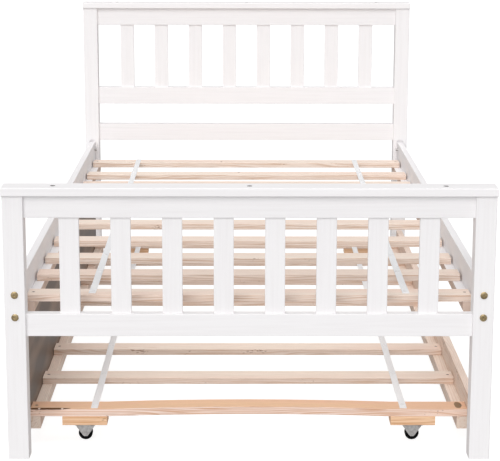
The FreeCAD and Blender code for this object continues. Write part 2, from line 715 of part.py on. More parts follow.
def make_wheels():
    """Solid wheels with a proud hub and rounded tread, one piece each."""
    for end_name, end in (("front", -1), ("back", 1)):
        for side_name, side in (("left", -1), ("right", 1)):
            place = (f"{side} * caster_place", f"{end} * {CASTER_Y}", "wheel_radius")
            body = new_piece(f"caster_wheel_{end_name}_{side_name}", place)
            sketch = new_sketch(body, "YZ_Plane")
            rim = "(wheel_radius - 3)"
            half = [
                ("hub_width / 2", "wheel_bore_radius"),
                ("hub_width / 2", "hub_radius - 1"),
                ("hub_width / 2 - 1", "hub_radius"),
                ("wheel_width / 2 - 1.5", "hub_radius + 1"),
                ("wheel_width / 2 - 1.5", f"{rim} - 1"),
                ("wheel_width / 2", rim),
                ("wheel_width / 2 - 0.6", "wheel_radius - 1.4"),
                ("wheel_width / 2 - 2.4", "wheel_radius"),
            ]
            other = [(f"-({across})", radius) for across, radius in reversed(half)]
            draw_outline(sketch, half + other)
            add_revolution(body, sketch, "H_Axis")


def make_casters():
    """Blocks, brackets, axles and wheels."""
    make_caster_blocks()
    make_caster_brackets()
    make_axles()
    make_wheels()


# ---------------------------------------------------------------- fasteners

def turned_piece(label, role, offset, points, axis):
    """A body with one turned shape, its profile's origin at offset in the plane's own directions."""
    body = new_piece(label)
    sketch = new_sketch(body, role, offset)
    draw_outline(sketch, points)
    add_revolution(body, sketch, axis)
    return body


def countersunk_profile(length):
    """Half a countersunk screw, head up, with a point."""
    head = "(screw_head / 2)"
    shank = "(screw_shank / 2)"
    return (
        ("0", "-screw_sink"),
        (head, "-screw_sink"),
        (shank, f"-screw_sink - {head} + {shank}"),
        (shank, f"4 - {length}"),
        ("0", f"-{length}"),
    )


def sideways(points):
    """The same profile lying down: its length along the sketch's first direction."""
    return tuple((along, across) for across, along in points)


def make_connector_bolts():
    """Eight bolts through the posts: a low domed head with a round-bottomed socket."""
    head_radius = "(bolt_head / 2)"
    socket = "(bolt_socket / 2)"
    face = f"-({BOARD_Y} + post_side / 2)"
    points = (
        ("1.6 - bolt_head_height", "0"),
        ("1.2 - bolt_head_height", socket),
        ("-bolt_head_height", socket),
        ("-bolt_head_height", f"{head_radius} - 2"),
        ("-0.8", head_radius),
        ("0", head_radius),
        ("0", "bolt_shank / 2"),
        ("bolt_length - 2", "bolt_shank / 2"),
        ("bolt_length", "bolt_shank / 2 - 1.5"),
        ("bolt_length", "0"),
    )
    body = turned_piece("connector_bolts", "YZ_Plane", (face, "bolt_base", f"-{POST_X}"), points, "H_Axis")
    add_row(body, "Z_Axis", "bolt_rise", "2")
    add_mirror(body, "YZ_Plane")
    add_mirror(body, "XZ_Plane")


def make_barrel_nuts():
    """Eight cross dowels, one on each bolt, flush with the side rails' inner faces."""
    body = new_piece("barrel_nuts")
    sketch = new_sketch(body, "YZ_Plane", (f"nut_setback - {RAIL_REACH}", "bolt_base", f"-{RAIL_FACE_X}"))
    draw_circle(sketch, "nut_diameter")
    add_pad(body, sketch, "-nut_length", symmetric=False)
    bore = new_sketch(body, "XZ_Plane", (f"-{POST_X}", "bolt_base", "0"))
    draw_circle(bore, "nut_bore")
    add_pocket(body, bore)
    add_row(body, "Z_Axis", "bolt_rise", "2")
    add_mirror(body, "YZ_Plane")
    add_mirror(body, "XZ_Plane")


def make_cap_screws():
    """Three pan-head screws down through each cap into its top rail, at two heights."""
    body = new_piece("cap_screws")
    head = "(cap_screw_head / 2)"
    shank = "(screw_shank / 2)"
    points = (
        ("0", "2.2"),
        (f"{head} - 1.6", "2.2"),
        (head, "0.8"),
        (head, "0"),
        (shank, "0"),
        (shank, "3 - cap_screw_length"),
        ("0", "-cap_screw_length"),
    )
    for data in BOARDS.values():
        seat = f"{data['height']} + cap_thickness - cap_bore_depth"
        for place in ("-cap_screw_place", "0", "cap_screw_place"):
            sketch = new_sketch(body, "XZ_Plane", (place, seat, f"{-data['side']} * {BOARD_Y}"))
            draw_outline(sketch, points)
            add_revolution(body, sketch, "V_Axis")


def make_slat_screws():
    """Countersunk screws through the slat ends into the ledgers, on the bed and on the trundle."""
    profile = countersunk_profile("slat_screw_length")
    body = turned_piece("bed_slat_screws", "XZ_Plane",
                        ("slat_screw_inset - bed_slat_length / 2", BED_SLAT_TOP, "-bed_slat_start"),
                        profile, "V_Axis")
    add_row(body, "Y_Axis", "(bed_slat_count - 1) * bed_slat_pitch", "2")
    add_mirror(body, "YZ_Plane")

    body = turned_piece("trundle_slat_screws", "XZ_Plane",
                        (f"-{SLAT_SCREW_X}", TRUNDLE_SLAT_TOP, "-trundle_slat_start"), profile, "V_Axis")
    add_row(body, "Y_Axis", "trundle_slat_pitch", "plain_slat_count")
    front = new_sketch(body, "XZ_Plane", (f"-{SLAT_SCREW_X}", FRONT_SLAT_TOP,
                                          "(trundle_length - front_slat_width) / 2"))
    draw_outline(front, profile)
    add_revolution(body, front, "V_Axis")
    add_mirror(body, "YZ_Plane")


def make_ledger_screws():
    """Screws that run sideways through the ledgers into the side rails, the panel and the back rail."""
    for label, face, height, length, pitch, count in (
        ("bed_ledger_screws", f"{RAIL_FACE_X} - ledger_side", f"{BED_LEDGER_TOP} - ledger_side / 2",
         "ledger_screw_length", "ledger_screw_pitch", "ledger_screw_count"),
        ("trundle_ledger_screws", "trundle_half_width - trundle_ledger_width",
         f"{TRUNDLE_LEDGER_TOP} - trundle_ledger_height / 2", "trundle_screw_length",
         "trundle_screw_pitch", "trundle_screw_count"),
    ):
        start = f"({count} - 1) / 2 * {pitch}"
        body = turned_piece(label, "XZ_Plane", (f"-({face}) - screw_sink", height, start),
                            sideways(countersunk_profile(length)), "H_Axis")
        add_row(body, "Y_Axis", pitch, count)
        add_mirror(body, "YZ_Plane")


def make_caster_screws():
    """Four pan-head screws up through each caster plate into its block."""
    head = "(screw_head / 2)"
    shank = "(screw_shank / 2)"
    points = (
        ("0", "-2"),
        (f"{head} - 1", "-2"),
        (head, "-0.8"),
        (head, "0"),
        (shank, "0"),
        (shank, "caster_screw_length - 3"),
        ("0", "caster_screw_length"),
    )
    offset = ("-caster_place - caster_screw_spread / 2", "caster_height - caster_sheet",
              f"{CASTER_Y} + caster_screw_spread / 2")
    body = turned_piece("caster_screws", "XZ_Plane", offset, points, "V_Axis")
    add_row(body, "X_Axis", "caster_screw_spread", "2")
    add_row(body, "Y_Axis", "caster_screw_spread", "2")
    spread_to_casters(body)


def staple_outline(sketch):
    """A staple seen from the front: a crown and two legs."""
    crown = "(staple_crown / 2)"
    wire = "staple_wire"
    draw_outline(sketch, (
        (f"-{crown}", "-staple_leg"),
        (f"{wire} - {crown}", "-staple_leg"),
        (f"{wire} - {crown}", "0"),
        (f"{crown} - {wire}", "0"),
        (f"{crown} - {wire}", "-staple_leg"),
        (crown, "-staple_leg"),
        (crown, wire),
        (f"-{crown}", wire),
    ))


def make_strap_staples():
    """One staple through each strap into each slat."""
    strap_top = "strap_gap + strap_thickness"
    body = new_piece("bed_strap_staples")
    for number in range(1, NUMBERS["bed_slat_count"] + 1):
        shift = SLID_SLATS.get(number, 0)
        centre = f"bed_slat_start + {number - 1} * bed_slat_pitch + ({shift})"
        sketch = new_sketch(body, "XZ_Plane", ("-strap_place", f"{BED_SLAT_TOP} + {strap_top}",
                                               f"-({centre})"))
        staple_outline(sketch)
        add_pad(body, sketch, "staple_wire")
    add_mirror(body, "YZ_Plane")

    body = new_piece("trundle_strap_staples")
    sketch = new_sketch(body, "XZ_Plane", ("-strap_place", f"{TRUNDLE_SLAT_TOP} + {strap_top}",
                                           "-trundle_slat_start"))
    staple_outline(sketch)
    add_pad(body, sketch, "staple_wire")
    add_row(body, "Y_Axis", "trundle_slat_pitch", "plain_slat_count")
    sketch = new_sketch(body, "XZ_Plane", ("-strap_place", f"{FRONT_SLAT_TOP} + {strap_top}",
                                           "(trundle_length - front_slat_width) / 2"))
    staple_outline(sketch)
    add_pad(body, sketch, "staple_wire")
    add_mirror(body, "YZ_Plane")


def make_fasteners():
    """Bolts, nuts, screws and staples."""
    make_connector_bolts()
    make_barrel_nuts()
    make_cap_screws()
    make_slat_screws()
    make_ledger_screws()
    make_caster_screws()
    make_strap_staples()


# ---------------------------------------------------------------- checking and writing

def check_document():
    """Stop if any object failed, or if a piece has no shape or a bad one."""
    doc.recompute()
    for item in doc.Objects:
        if "Invalid" in item.State or "Error" in item.State:
            raise RuntimeError(f"{item.Label} failed: {item.State}")
    for piece in pieces:
        if piece.Shape.isNull() or not piece.Shape.isValid():
            raise RuntimeError(f"{piece.Label} has no valid shape")


def write_parts():
    """Write one STEP file for each piece."""
    os.makedirs("parts", exist_ok=True)
    for piece in pieces:
        piece.Shape.exportStep(os.path.join("parts", f"{piece.Label}.step"))
        print(piece.Label, len(piece.Shape.Solids), "solids")


fill_sheet()
make_boards()
make_bed_deck()
make_trundle_slats()
make_trundle_frame()
make_casters()
make_fasteners()
check_document()
write_parts()
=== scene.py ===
"""Finishes a painted pine bed and its trundle: paint, bare wood, webbing, hardware, casters and the studio.

Lengths are in metres, in the bed's own frame: +X across the bed, +Y from footboard to headboard, +Z up.
"""

import json
import math

import bmesh
import bpy
from mathutils import Matrix, Vector


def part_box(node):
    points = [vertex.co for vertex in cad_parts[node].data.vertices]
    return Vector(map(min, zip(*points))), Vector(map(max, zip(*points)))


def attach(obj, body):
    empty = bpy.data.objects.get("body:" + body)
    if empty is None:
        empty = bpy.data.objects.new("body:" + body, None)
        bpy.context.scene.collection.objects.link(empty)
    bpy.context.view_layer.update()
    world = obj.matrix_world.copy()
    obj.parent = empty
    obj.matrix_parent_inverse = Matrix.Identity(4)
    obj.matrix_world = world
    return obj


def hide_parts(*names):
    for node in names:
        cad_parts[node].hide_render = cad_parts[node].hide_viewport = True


bl_info = {
    "name": "Trundle bed",
    "version": (1, 0, 0),
    "blender": (4, 5, 0),
    "location": "3D View > Sidebar > Trundle bed",
    "description": "Surfaces, webbing, hardware and studio for a painted pine bed with a trundle",
    "category": "Object",
}

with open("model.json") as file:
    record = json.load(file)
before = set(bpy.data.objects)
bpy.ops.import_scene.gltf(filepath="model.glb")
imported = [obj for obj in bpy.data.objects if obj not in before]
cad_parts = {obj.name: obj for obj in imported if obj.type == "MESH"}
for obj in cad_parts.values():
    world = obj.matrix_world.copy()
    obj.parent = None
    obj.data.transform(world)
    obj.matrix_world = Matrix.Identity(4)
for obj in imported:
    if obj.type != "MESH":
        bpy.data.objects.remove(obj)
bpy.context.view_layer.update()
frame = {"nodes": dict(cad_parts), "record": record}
NODES = frame["nodes"]
NODES_OF = frame["record"]["behaviour"]["bodies"]
BODY_OF = {node: body for body, nodes in NODES_OF.items() for node in nodes}
MM = 0.001
BOARD_ENDS = {"footboard": -1, "headboard": 1}
SIDES = {"left": -1, "right": 1}

# Sizes of the frame's small parts that their boxes don't give.
FRONT_SLAT_THICKNESS = 18 * MM
TAPE_THICKNESS = 1.2 * MM
BOLT_SHANK_LENGTH = 78 * MM
BOLT_SHANK_RADIUS = 3 * MM
NUT_RADIUS = 5 * MM
NUT_BORE_RADIUS = 3.1 * MM
NUT_BORE_DEPTH = 9 * MM
SCREW_HEAD_RADIUS = 3.8 * MM
SCREW_SHANK_RADIUS = 1.8 * MM
SCREW_SINK = 0.3 * MM
SCREW_TIP = 4 * MM
PAN_HEAD_HEIGHT = 2 * MM
SLAT_SCREW_LENGTH = 34 * MM
BED_LEDGER_SCREW_LENGTH = 32 * MM
TRUNDLE_LEDGER_SCREW_LENGTH = 34 * MM
CASTER_SCREW_LENGTH = 16 * MM
CASTER_SCREW_SPREAD = 32 * MM
CASTER_SHEET = 1.5 * MM
CAP_SCREW_LENGTH = 45 * MM
CAP_SCREW_HEAD_RADIUS = 4.75 * MM
CAP_COUNTERBORE = 5 * MM
AXLE_BORE_RADIUS = 2.55 * MM
# How far inside a face the mask of the surface behind it starts.
MASK_MARGIN = 0.3 * MM


def linear(hex_colour):
    """An sRGB hex colour as the linear RGBA that Blender's colours are."""
    channels = [int(hex_colour[at:at + 2], 16) / 255 for at in (1, 3, 5)]
    return tuple(c / 12.92 if c <= 0.04045 else ((c + 0.055) / 1.055) ** 2.4 for c in channels) + (1.0,)


def colour(name, description, default):
    """A colour setting."""
    return bpy.props.FloatVectorProperty(
        name=name, description=description, subtype="COLOR", size=4, min=0, max=1, default=linear(default))


def length(name, description, default):
    """A length setting, in metres."""
    return bpy.props.FloatProperty(
        name=name, description=description, unit="LENGTH", subtype="DISTANCE", min=0, default=default, precision=5)


def angle(name, description, default):
    """An angle setting, in radians."""
    return bpy.props.FloatProperty(name=name, description=description, subtype="ANGLE", default=default)


def strength(name, description, default, unit="POWER"):
    """A light's setting."""
    return bpy.props.FloatProperty(name=name, description=description, unit=unit, min=0, default=default)


class BedColours(bpy.types.PropertyGroup):
    """Colours of the finishes."""
    paint: colour("Paint", "Satin white paint", "#F6F4F5")
    # Painted shade in the grain's hollows under the paint.
    paint_hollow_shade: colour("Paint in the grain", "Paint where the grain under it is low", "#E9E5E6")
    pine: colour("Pine", "Pale early wood", "#F7E9DC")
    pine_pink: colour("Pink pine", "Early wood of the pinker boards", "#F6E0D2")
    pine_late: colour("Late wood", "The dark side of each growth ring", "#C9A182")
    # Painted shade: the three colours below go on the upright faces of the bare pine in place of the pale early wood;
    # the pink one makes the front slat's sides paler and pinker, painted light, and also colours the filler spots by
    # its split.
    pine_side_shade: colour("Sawn edge", "Early wood on the sawn edges of the bed's slats", "#F3E3D7")
    pine_side_shade_under_bed: colour("Dull sawn edge", "Early wood on the sawn edges of the trundle's slats", "#E6D3C6")
    heart_side_shading_and_filler: colour("Pink edge", "Early wood on the front slat's sawn edge", "#F6DFD3")
    pine_end: colour("Sawn pine", "Bare back and sawn ends of the bed's ledgers", "#DBC4B5")
    # Painted shade: the dark grey that stands for the shade inside the caps' screw holes.
    hole_wall_shade: colour("Drilled hole", "Walls of the screw holes in the caps", "#5A5552")
    heart: colour("Heartwood", "Warm early wood of the front slat and the caster blocks", "#F4CDA9")
    heart_pink: colour("Pink heartwood", "Pinker heartwood", "#F0C3A6")
    heart_late: colour("Late heartwood", "The dark side of a heartwood ring", "#C88B57")
    split: colour("Split", "Inside of the front slat's split", "#63401F")
    wane: colour("Wane", "Grey-brown wane at the front slat's end", "#8D7052")
    knot: colour("Knot", "Knots and bark", "#7A4E30")
    board_inside: colour("Panel inside", "Bare face of the trundle's front panel", "#7F6857")
    # Painted shade and reflection: the panel's bare taupe face is mixed with this darker brown in soft bands.
    board_shade_band: colour("Panel inside, dark", "Darker bands of the panel's bare face", "#4C3D33")
    webbing: colour("Webbing", "Polypropylene tape", "#F4F4F5")
    # Painted shade between the webbing's cords.
    webbing_hollow_shade: colour("Webbing, between cords", "Tape between its cords", "#DCDDE0")
    brass: colour("Brass", "Brass plate on the connector bolts", "#C4AF88")
    brass_dark: colour("Brass, dull", "Brass plate where it is handled", "#6B5C43")
    zinc: colour("Zinc", "Zinc plate on pressed steel and barrel nuts", "#CBC8C6")
    zinc_dark: colour("Zinc, dull", "Dull patches of zinc plate", "#A3A09F")
    screw: colour("Screw steel", "Dull plate on the wood screws", "#9B9088")
    screw_dark: colour("Screw steel, dull", "Dull patches on the wood screws", "#6E655F")
    galvanised: colour("Galvanised", "Bright galvanised staple wire", "#EDEDEE")
    rubber: colour("Rubber", "Moulded black rubber", "#070708")
    rubber_dust: colour("Dusty rubber", "Grey bloom on the rubber", "#4A4947")
    floor: colour("Floor", "Matt white paper sweep", "#FFFFFF")


class BedSizes(bpy.types.PropertyGroup):
    """Sizes that the frame doesn't fix."""
    ring: length("Growth ring", "Width of one growth ring of the pine", 4.2 * MM)
    knot: length("Knot", "Radius of a knot", 5 * MM)
    brush_line: length("Brush line", "Distance between brush lines in the paint", 1.6 * MM)
    cord: length("Webbing cord", "Width of one cord of the webbing", 1.6 * MM)
    strap_sag: length("Strap sag", "How far a strap dips between two slats", 1.2 * MM)
    socket: length("Bolt socket", "Across the flats of a bolt's hexagon socket", 5 * MM)
    recess: length("Screw recess", "Length of each slot of a screw's cross", 4.2 * MM)


class BedStudio(bpy.types.PropertyGroup):
    """Camera and light."""
    camera_place: bpy.props.FloatVectorProperty(
        name="Camera", description="Where the camera stands", subtype="TRANSLATION", unit="LENGTH",
        default=(-0.0205, -4.5164, 1.2712))
    camera_pitch: angle("Pitch", "How far the camera looks down", 0.2117)
    camera_heading: angle("Heading", "How far the camera turns to the right", 0.0061)
    camera_roll: angle("Roll", "How far the camera leans", 0.0021)
    camera_lens: bpy.props.FloatProperty(
        name="Lens", description="Focal length on a 36 mm sensor", unit="CAMERA", default=120.76)
    sky: strength("Fill", "Strength of the even light from all round", 0.5, "NONE")
    key: strength("Key", "Strength of the large soft light in front of the footboard", 1.64)
    key_height: angle("Key height", "Angle of the key light above the floor", math.radians(26))
    key_side: angle("Key side", "Angle of the key light to the left of straight ahead", math.radians(12))
    key_spread: angle("Key spread", "How wide the key light looks from the bed", math.radians(48))
    top: strength("Top light", "Strength of the soft light overhead", 0.95)
    floor_glow: strength("Floor glow", "Light that comes through the backlit floor", 0.8, "NONE")
    under_bed: strength("Under-bed fill", "Power of the soft light over the trundle", 1.2)


# ---------------------------------------------------------------- materials

def add(tree, kind, settings=None, links=None):
    """One node. Settings are its options, its sockets' values or a ramp's stops, and links feed its sockets."""
    node = tree.nodes.new(f"ShaderNode{kind}")
    for key, value in (settings or {}).items():
        if key == "stops":
            elements = node.color_ramp.elements
            while len(elements) < len(value):
                elements.new(1.0)
            for element, (place, level) in zip(elements, value):
                element.position = place
                element.color = (level, level, level, 1.0)
        elif isinstance(key, int) or key[0].isupper():
            node.inputs[key].default_value = value
        else:
            setattr(node, key, value)
    for key, source in (links or {}).items():
        tree.links.new(source, node.inputs[key])
    return node


def new_material(name, surface):
    """An empty material with one shader, whose own sockets take the settings in surface."""
    material = bpy.data.materials.new(name)
    material.use_nodes = True
    tree = material.node_tree
    shader = tree.nodes["Principled BSDF"]
    for socket, value in surface.items():
        shader.inputs[socket].default_value = value
    return material, tree, shader


def feed(shader, tint=None, roughness=None, normal=None):
    """Link patterns to a shader's colour, roughness and normal."""
    for socket, source in (("Base Color", tint), ("Roughness", roughness), ("Normal", normal)):
        if source:
            shader.id_data.links.new(source, shader.inputs[socket])


def along_grain(axis, along, across):
    """Pattern sizes in metres along and across the grain, as a mapping scale."""
    return tuple(1 / (along if letter == axis else across) for letter in "XYZ")


def paint_nodes(tree, colours, sizes, axis):
    """Satin paint on pine: the grain shows through faintly, its hollows darkened as painted shade, and brush lines of
    the undercoat run along the board.
    """
    place = add(tree, "TexCoord").outputs["Object"]
    grain = add(tree, "TexNoise", {"Scale": 1.0, "Detail": 3.0, "Roughness": 0.55}, {
        "Vector": add(tree, "Mapping", {"Scale": along_grain(axis, 160 * MM, 6 * MM)},
                      {"Vector": place}).outputs[0]}).outputs["Fac"]
    brush = add(tree, "TexNoise", {"Scale": 1.0, "Detail": 1.0}, {
        "Vector": add(tree, "Mapping", {"Scale": along_grain(axis, 70 * MM, sizes.brush_line)},
                      {"Vector": place}).outputs[0]}).outputs["Fac"]
    # Orange peel of the sprayed top coat, about 2 mm from bump to bump.
    peel = add(tree, "TexNoise", {"Scale": 1 / (2 * MM), "Detail": 1.0}, {"Vector": place}).outputs["Fac"]
    brushed = add(tree, "Math", {"operation": "MULTIPLY_ADD", 1: 0.35}, {0: brush, 2: grain}).outputs[0]
    height = add(tree, "Math", {"operation": "MULTIPLY_ADD", 1: 0.12}, {0: peel, 2: brushed}).outputs[0]
    # Painted shade: the paint is darker where the grain under it is low.
    hollow_shade = add(tree, "MapRange", {"From Min": 0.6, "From Max": 0.25, "To Max": 0.3},
                 {"Value": grain}).outputs["Result"]
    tint = add(tree, "Mix", {"data_type": "RGBA", 6: colours.paint, 7: colours.paint_hollow_shade},
               {0: hollow_shade}).outputs[2]
    gloss = add(tree, "MapRange", {"From Min": 0.3, "From Max": 0.7, "To Min": 0.36, "To Max": 0.5},
                {"Value": brushed}).outputs["Result"]
    normal = add(tree, "Bump", {"Strength": 0.8, "Distance": 0.045 * MM}, {"Height": height}).outputs[0]
    return tint, gloss, normal


def satin_paint_on_pine(name, colours, sizes, axis, bare=None, under=None):
    """Satin acrylic paint on planed pine: soft broad sheen, grain and brush lines just readable close to.

    Where bare is given, it makes a mask of places that take the colour under: bare wood on the ledgers' ends and backs,
    and painted shade on the walls of the caps' screw holes.
    """
    material, tree, shader = new_material(name, {"IOR": 1.48})
    tint, gloss, normal = paint_nodes(tree, colours, sizes, axis)
    # For the caps the mask is their screw holes' walls, and the colour is painted shade.
    if bare:
        tint = add(tree, "Mix", {"data_type": "RGBA", 7: under}, {0: bare(tree), 6: tint}).outputs[2]
    feed(shader, tint, gloss, normal)
    return material


def sawn_ends_and_back(tree, reach, inner):
    """The mask of a ledger's bare faces: its ends, beyond reach along y, and its inner face, within inner along x."""
    place = add(tree, "TexCoord").outputs["Object"]
    axes = add(tree, "SeparateXYZ", links={
        "Vector": add(tree, "VectorMath", {"operation": "ABSOLUTE"}, {0: place}).outputs[0]}).outputs
    ends = add(tree, "Math", {"operation": "GREATER_THAN", 1: reach}, {0: axes["Y"]}).outputs[0]
    back = add(tree, "Math", {"operation": "LESS_THAN", 1: inner}, {0: axes["X"]}).outputs[0]
    return add(tree, "Math", {"operation": "MAXIMUM"}, {0: ends, 1: back}).outputs[0]


def shaded_hole_walls(tree, outer_x, y, radius, top):
    """The mask of the walls of a cap's three screw holes, one at its middle and one near each end, which take painted
    shade.
    """
    place = add(tree, "TexCoord").outputs["Object"]
    axes = add(tree, "SeparateXYZ", links={"Vector": place}).outputs
    # Folding x at half the spacing brings all three holes to zero.
    fold = add(tree, "Math", {"operation": "PINGPONG", 1: outer_x / 2}, {0: axes["X"]}).outputs[0]
    off_x = add(tree, "Math", {"operation": "MULTIPLY"}, {0: fold, 1: fold}).outputs[0]
    shift = add(tree, "Math", {"operation": "SUBTRACT", 1: y}, {0: axes["Y"]}).outputs[0]
    off = add(tree, "Math", {"operation": "MULTIPLY_ADD"}, {0: shift, 1: shift, 2: off_x}).outputs[0]
    near = add(tree, "Math", {"operation": "LESS_THAN", 1: radius ** 2}, {0: off}).outputs[0]
    below = add(tree, "Math", {"operation": "LESS_THAN", 1: top}, {0: axes["Z"]}).outputs[0]
    return add(tree, "Math", {"operation": "MULTIPLY"}, {0: near, 1: below}).outputs[0]


def sanded_pine(name, early, early_pink, early_side_shading, late, knot, sizes, axis):
    """Bare sanded softwood: bands of pale early and darker late wood along the board, knots, dry sheen."""
    material, tree, shader = new_material(name, {"IOR": 1.45})
    place = add(tree, "TexCoord").outputs["Object"]
    # The grain's own axes: x along the board, whichever way the board lies.
    turn = {"X": 0.0, "Y": -math.pi / 2}[axis]
    wood = add(tree, "Mapping", {"Rotation": (0, 0, turn)}, {"Vector": place}).outputs[0]
    # Noises stretched along the grain, in mm along and across it. Fibres are finer than this in the wood; 1 mm
    # streaks are the finest that show.
    streaked_by = {}
    for title, along, across, detail, roughness, shift in (
            ("sway", 700, 60, 2.0, 0.5, 0), ("tone", 600, 70, 1.0, 0.5, 0), ("fibre", 40, 1, 2.0, 0.6, 0),
            ("resin", 130, 4, 1.0, 0.5, 0), ("flecks", 9, 2.4, 1.0, 0.5, 0), ("patches", 70, 30, 0.0, 0.5, 1)):
        stretched = add(tree, "Mapping", {"Scale": along_grain("X", along * MM, across * MM),
                                          "Location": (3 * shift, 7 * shift, shift)}, {"Vector": wood}).outputs[0]
        streaked_by[title] = add(tree, "TexNoise", {"Scale": 1.0, "Detail": detail, "Roughness": roughness},
                                 {"Vector": stretched}).outputs["Fac"]
    fibre = streaked_by["fibre"]

    # A knot or two to a board: the nearest point of a scattered set, kept in a third of its cells.
    cell = 260 * MM
    scatter = add(tree, "TexVoronoi", {"voronoi_dimensions": "2D", "Scale": 1 / cell}, {"Vector": wood})
    keep = add(tree, "Math", {"operation": "GREATER_THAN", 1: 0.62}, {
        0: add(tree, "SeparateColor", links={"Color": scatter.outputs["Color"]}).outputs[0]}).outputs[0]
    near = add(tree, "MapRange", {
        "interpolation_type": "SMOOTHSTEP", "From Min": 5 * sizes.knot / cell, "From Max": 0.0, "To Max": 2.2},
        {"Value": scatter.outputs["Distance"]}).outputs["Result"]
    bulge = add(tree, "Math", {"operation": "MULTIPLY"}, {0: near, 1: keep}).outputs[0]
    core = add(tree, "MapRange", {
        "interpolation_type": "SMOOTHSTEP", "From Min": sizes.knot / cell, "From Max": 0.5 * sizes.knot / cell},
        {"Value": scatter.outputs["Distance"]}).outputs["Result"]
    knots = add(tree, "Math", {"operation": "MULTIPLY"}, {0: core, 1: keep}).outputs[0]

    axes = add(tree, "SeparateXYZ", links={"Vector": wood}).outputs
    across = add(tree, "Math", {"operation": "MULTIPLY_ADD", 1: 1 / sizes.ring},
                 {0: axes["Y"], 2: bulge}).outputs[0]
    deep = add(tree, "Math", {"operation": "MULTIPLY_ADD", 1: 0.75 / sizes.ring},
               {0: axes["Z"], 2: across}).outputs[0]
    rings = add(tree, "Math", {"operation": "MULTIPLY_ADD", 1: 14.0}, {0: streaked_by["sway"], 2: deep}).outputs[0]
    phase = add(tree, "Math", {"operation": "FRACT"}, {0: rings}).outputs[0]
    late_wood = add(tree, "ValToRGB", {
        "stops": [(0.0, 0.0), (0.5, 0.1), (0.84, 0.62), (0.93, 0.55), (1.0, 0.0)]}, {"Fac": phase})
    # Upright faces, told from the tops by the normal, take their own early-wood colour and stronger rings: painted
    # shade, as they catch less light than the tops; on the front slat that colour is paler and pinker, painted light on
    # its sides.
    facing = add(tree, "SeparateXYZ", links={
        "Vector": add(tree, "NewGeometry").outputs["Normal"]}).outputs["Z"]
    edge = add(tree, "Math", {"operation": "LESS_THAN", 1: 0.7}, {
        0: add(tree, "Math", {"operation": "ABSOLUTE"}, {0: facing}).outputs[0]}).outputs[0]
    contrast = add(tree, "MapRange", {"To Min": 0.5, "To Max": 0.95}, {"Value": edge}).outputs["Result"]
    ring_shade = add(tree, "Math", {"operation": "MULTIPLY"},
                     {0: late_wood.outputs[0], 1: contrast}).outputs[0]
    streaks = add(tree, "MapRange", {"From Min": 0.3, "From Max": 0.7, "To Min": 0.9, "To Max": 1.07},
                  {"Value": fibre}).outputs["Result"]
    tones = add(tree, "MapRange", {"From Min": 0.35, "From Max": 0.65},
                {"Value": streaked_by["tone"]}).outputs["Result"]
    pale = add(tree, "Mix", {"data_type": "RGBA", 6: early, 7: early_pink}, {0: tones}).outputs[2]
    # The upright faces' colour: painted shade.
    dull = add(tree, "Mix", {"data_type": "RGBA", 6: early_side_shading, 7: early_pink},
               {0: add(tree, "Math", {"operation": "MULTIPLY", 1: 0.6}, {0: tones}).outputs[0]}).outputs[2]
    tops_and_shaded_sides = add(tree, "Mix", {"data_type": "RGBA"}, {0: edge, 6: pale, 7: dull}).outputs[2]
    ringed = add(tree, "Mix", {"data_type": "RGBA", 7: late}, {0: ring_shade, 6: tops_and_shaded_sides}).outputs[2]
    streaked = add(tree, "VectorMath", {"operation": "SCALE"}, {0: ringed, "Scale": streaks}).outputs[0]
    # Resin streaks a hand long and bark flecks a few millimetres long, on the upright faces only.
    resin_shade = add(tree, "MapRange", {"From Min": 0.56, "From Max": 0.72, "To Max": 0.6},
                      {"Value": streaked_by["resin"]}).outputs["Result"]
    thick = add(tree, "Math", {"operation": "MULTIPLY"},
                {0: streaked_by["flecks"], 1: streaked_by["patches"]}).outputs[0]
    bark = add(tree, "MapRange", {"From Min": 0.48, "From Max": 0.53, "To Max": 0.6},
               {"Value": thick}).outputs["Result"]
    resined = add(tree, "Mix", {"data_type": "RGBA", 7: late}, {
        0: add(tree, "Math", {"operation": "MULTIPLY"}, {0: resin_shade, 1: edge}).outputs[0],
        6: streaked}).outputs[2]
    dark = add(tree, "Math", {"operation": "MULTIPLY_ADD", "use_clamp": True},
               {0: bark, 1: edge, 2: knots}).outputs[0]
    tint = add(tree, "Mix", {"data_type": "RGBA", 7: knot}, {0: dark, 6: resined}).outputs[2]
    height = add(tree, "Math", {"operation": "MULTIPLY_ADD", 1: 0.5}, {0: late_wood.outputs[0], 2: fibre}).outputs[0]
    normal = add(tree, "Bump", {"Strength": 0.7, "Distance": 0.08 * MM}, {"Height": height}).outputs[0]
    dry = add(tree, "MapRange", {"To Min": 0.5, "To Max": 0.68}, {"Value": fibre}).outputs["Result"]
    feed(shader, tint, dry, normal)
    return material


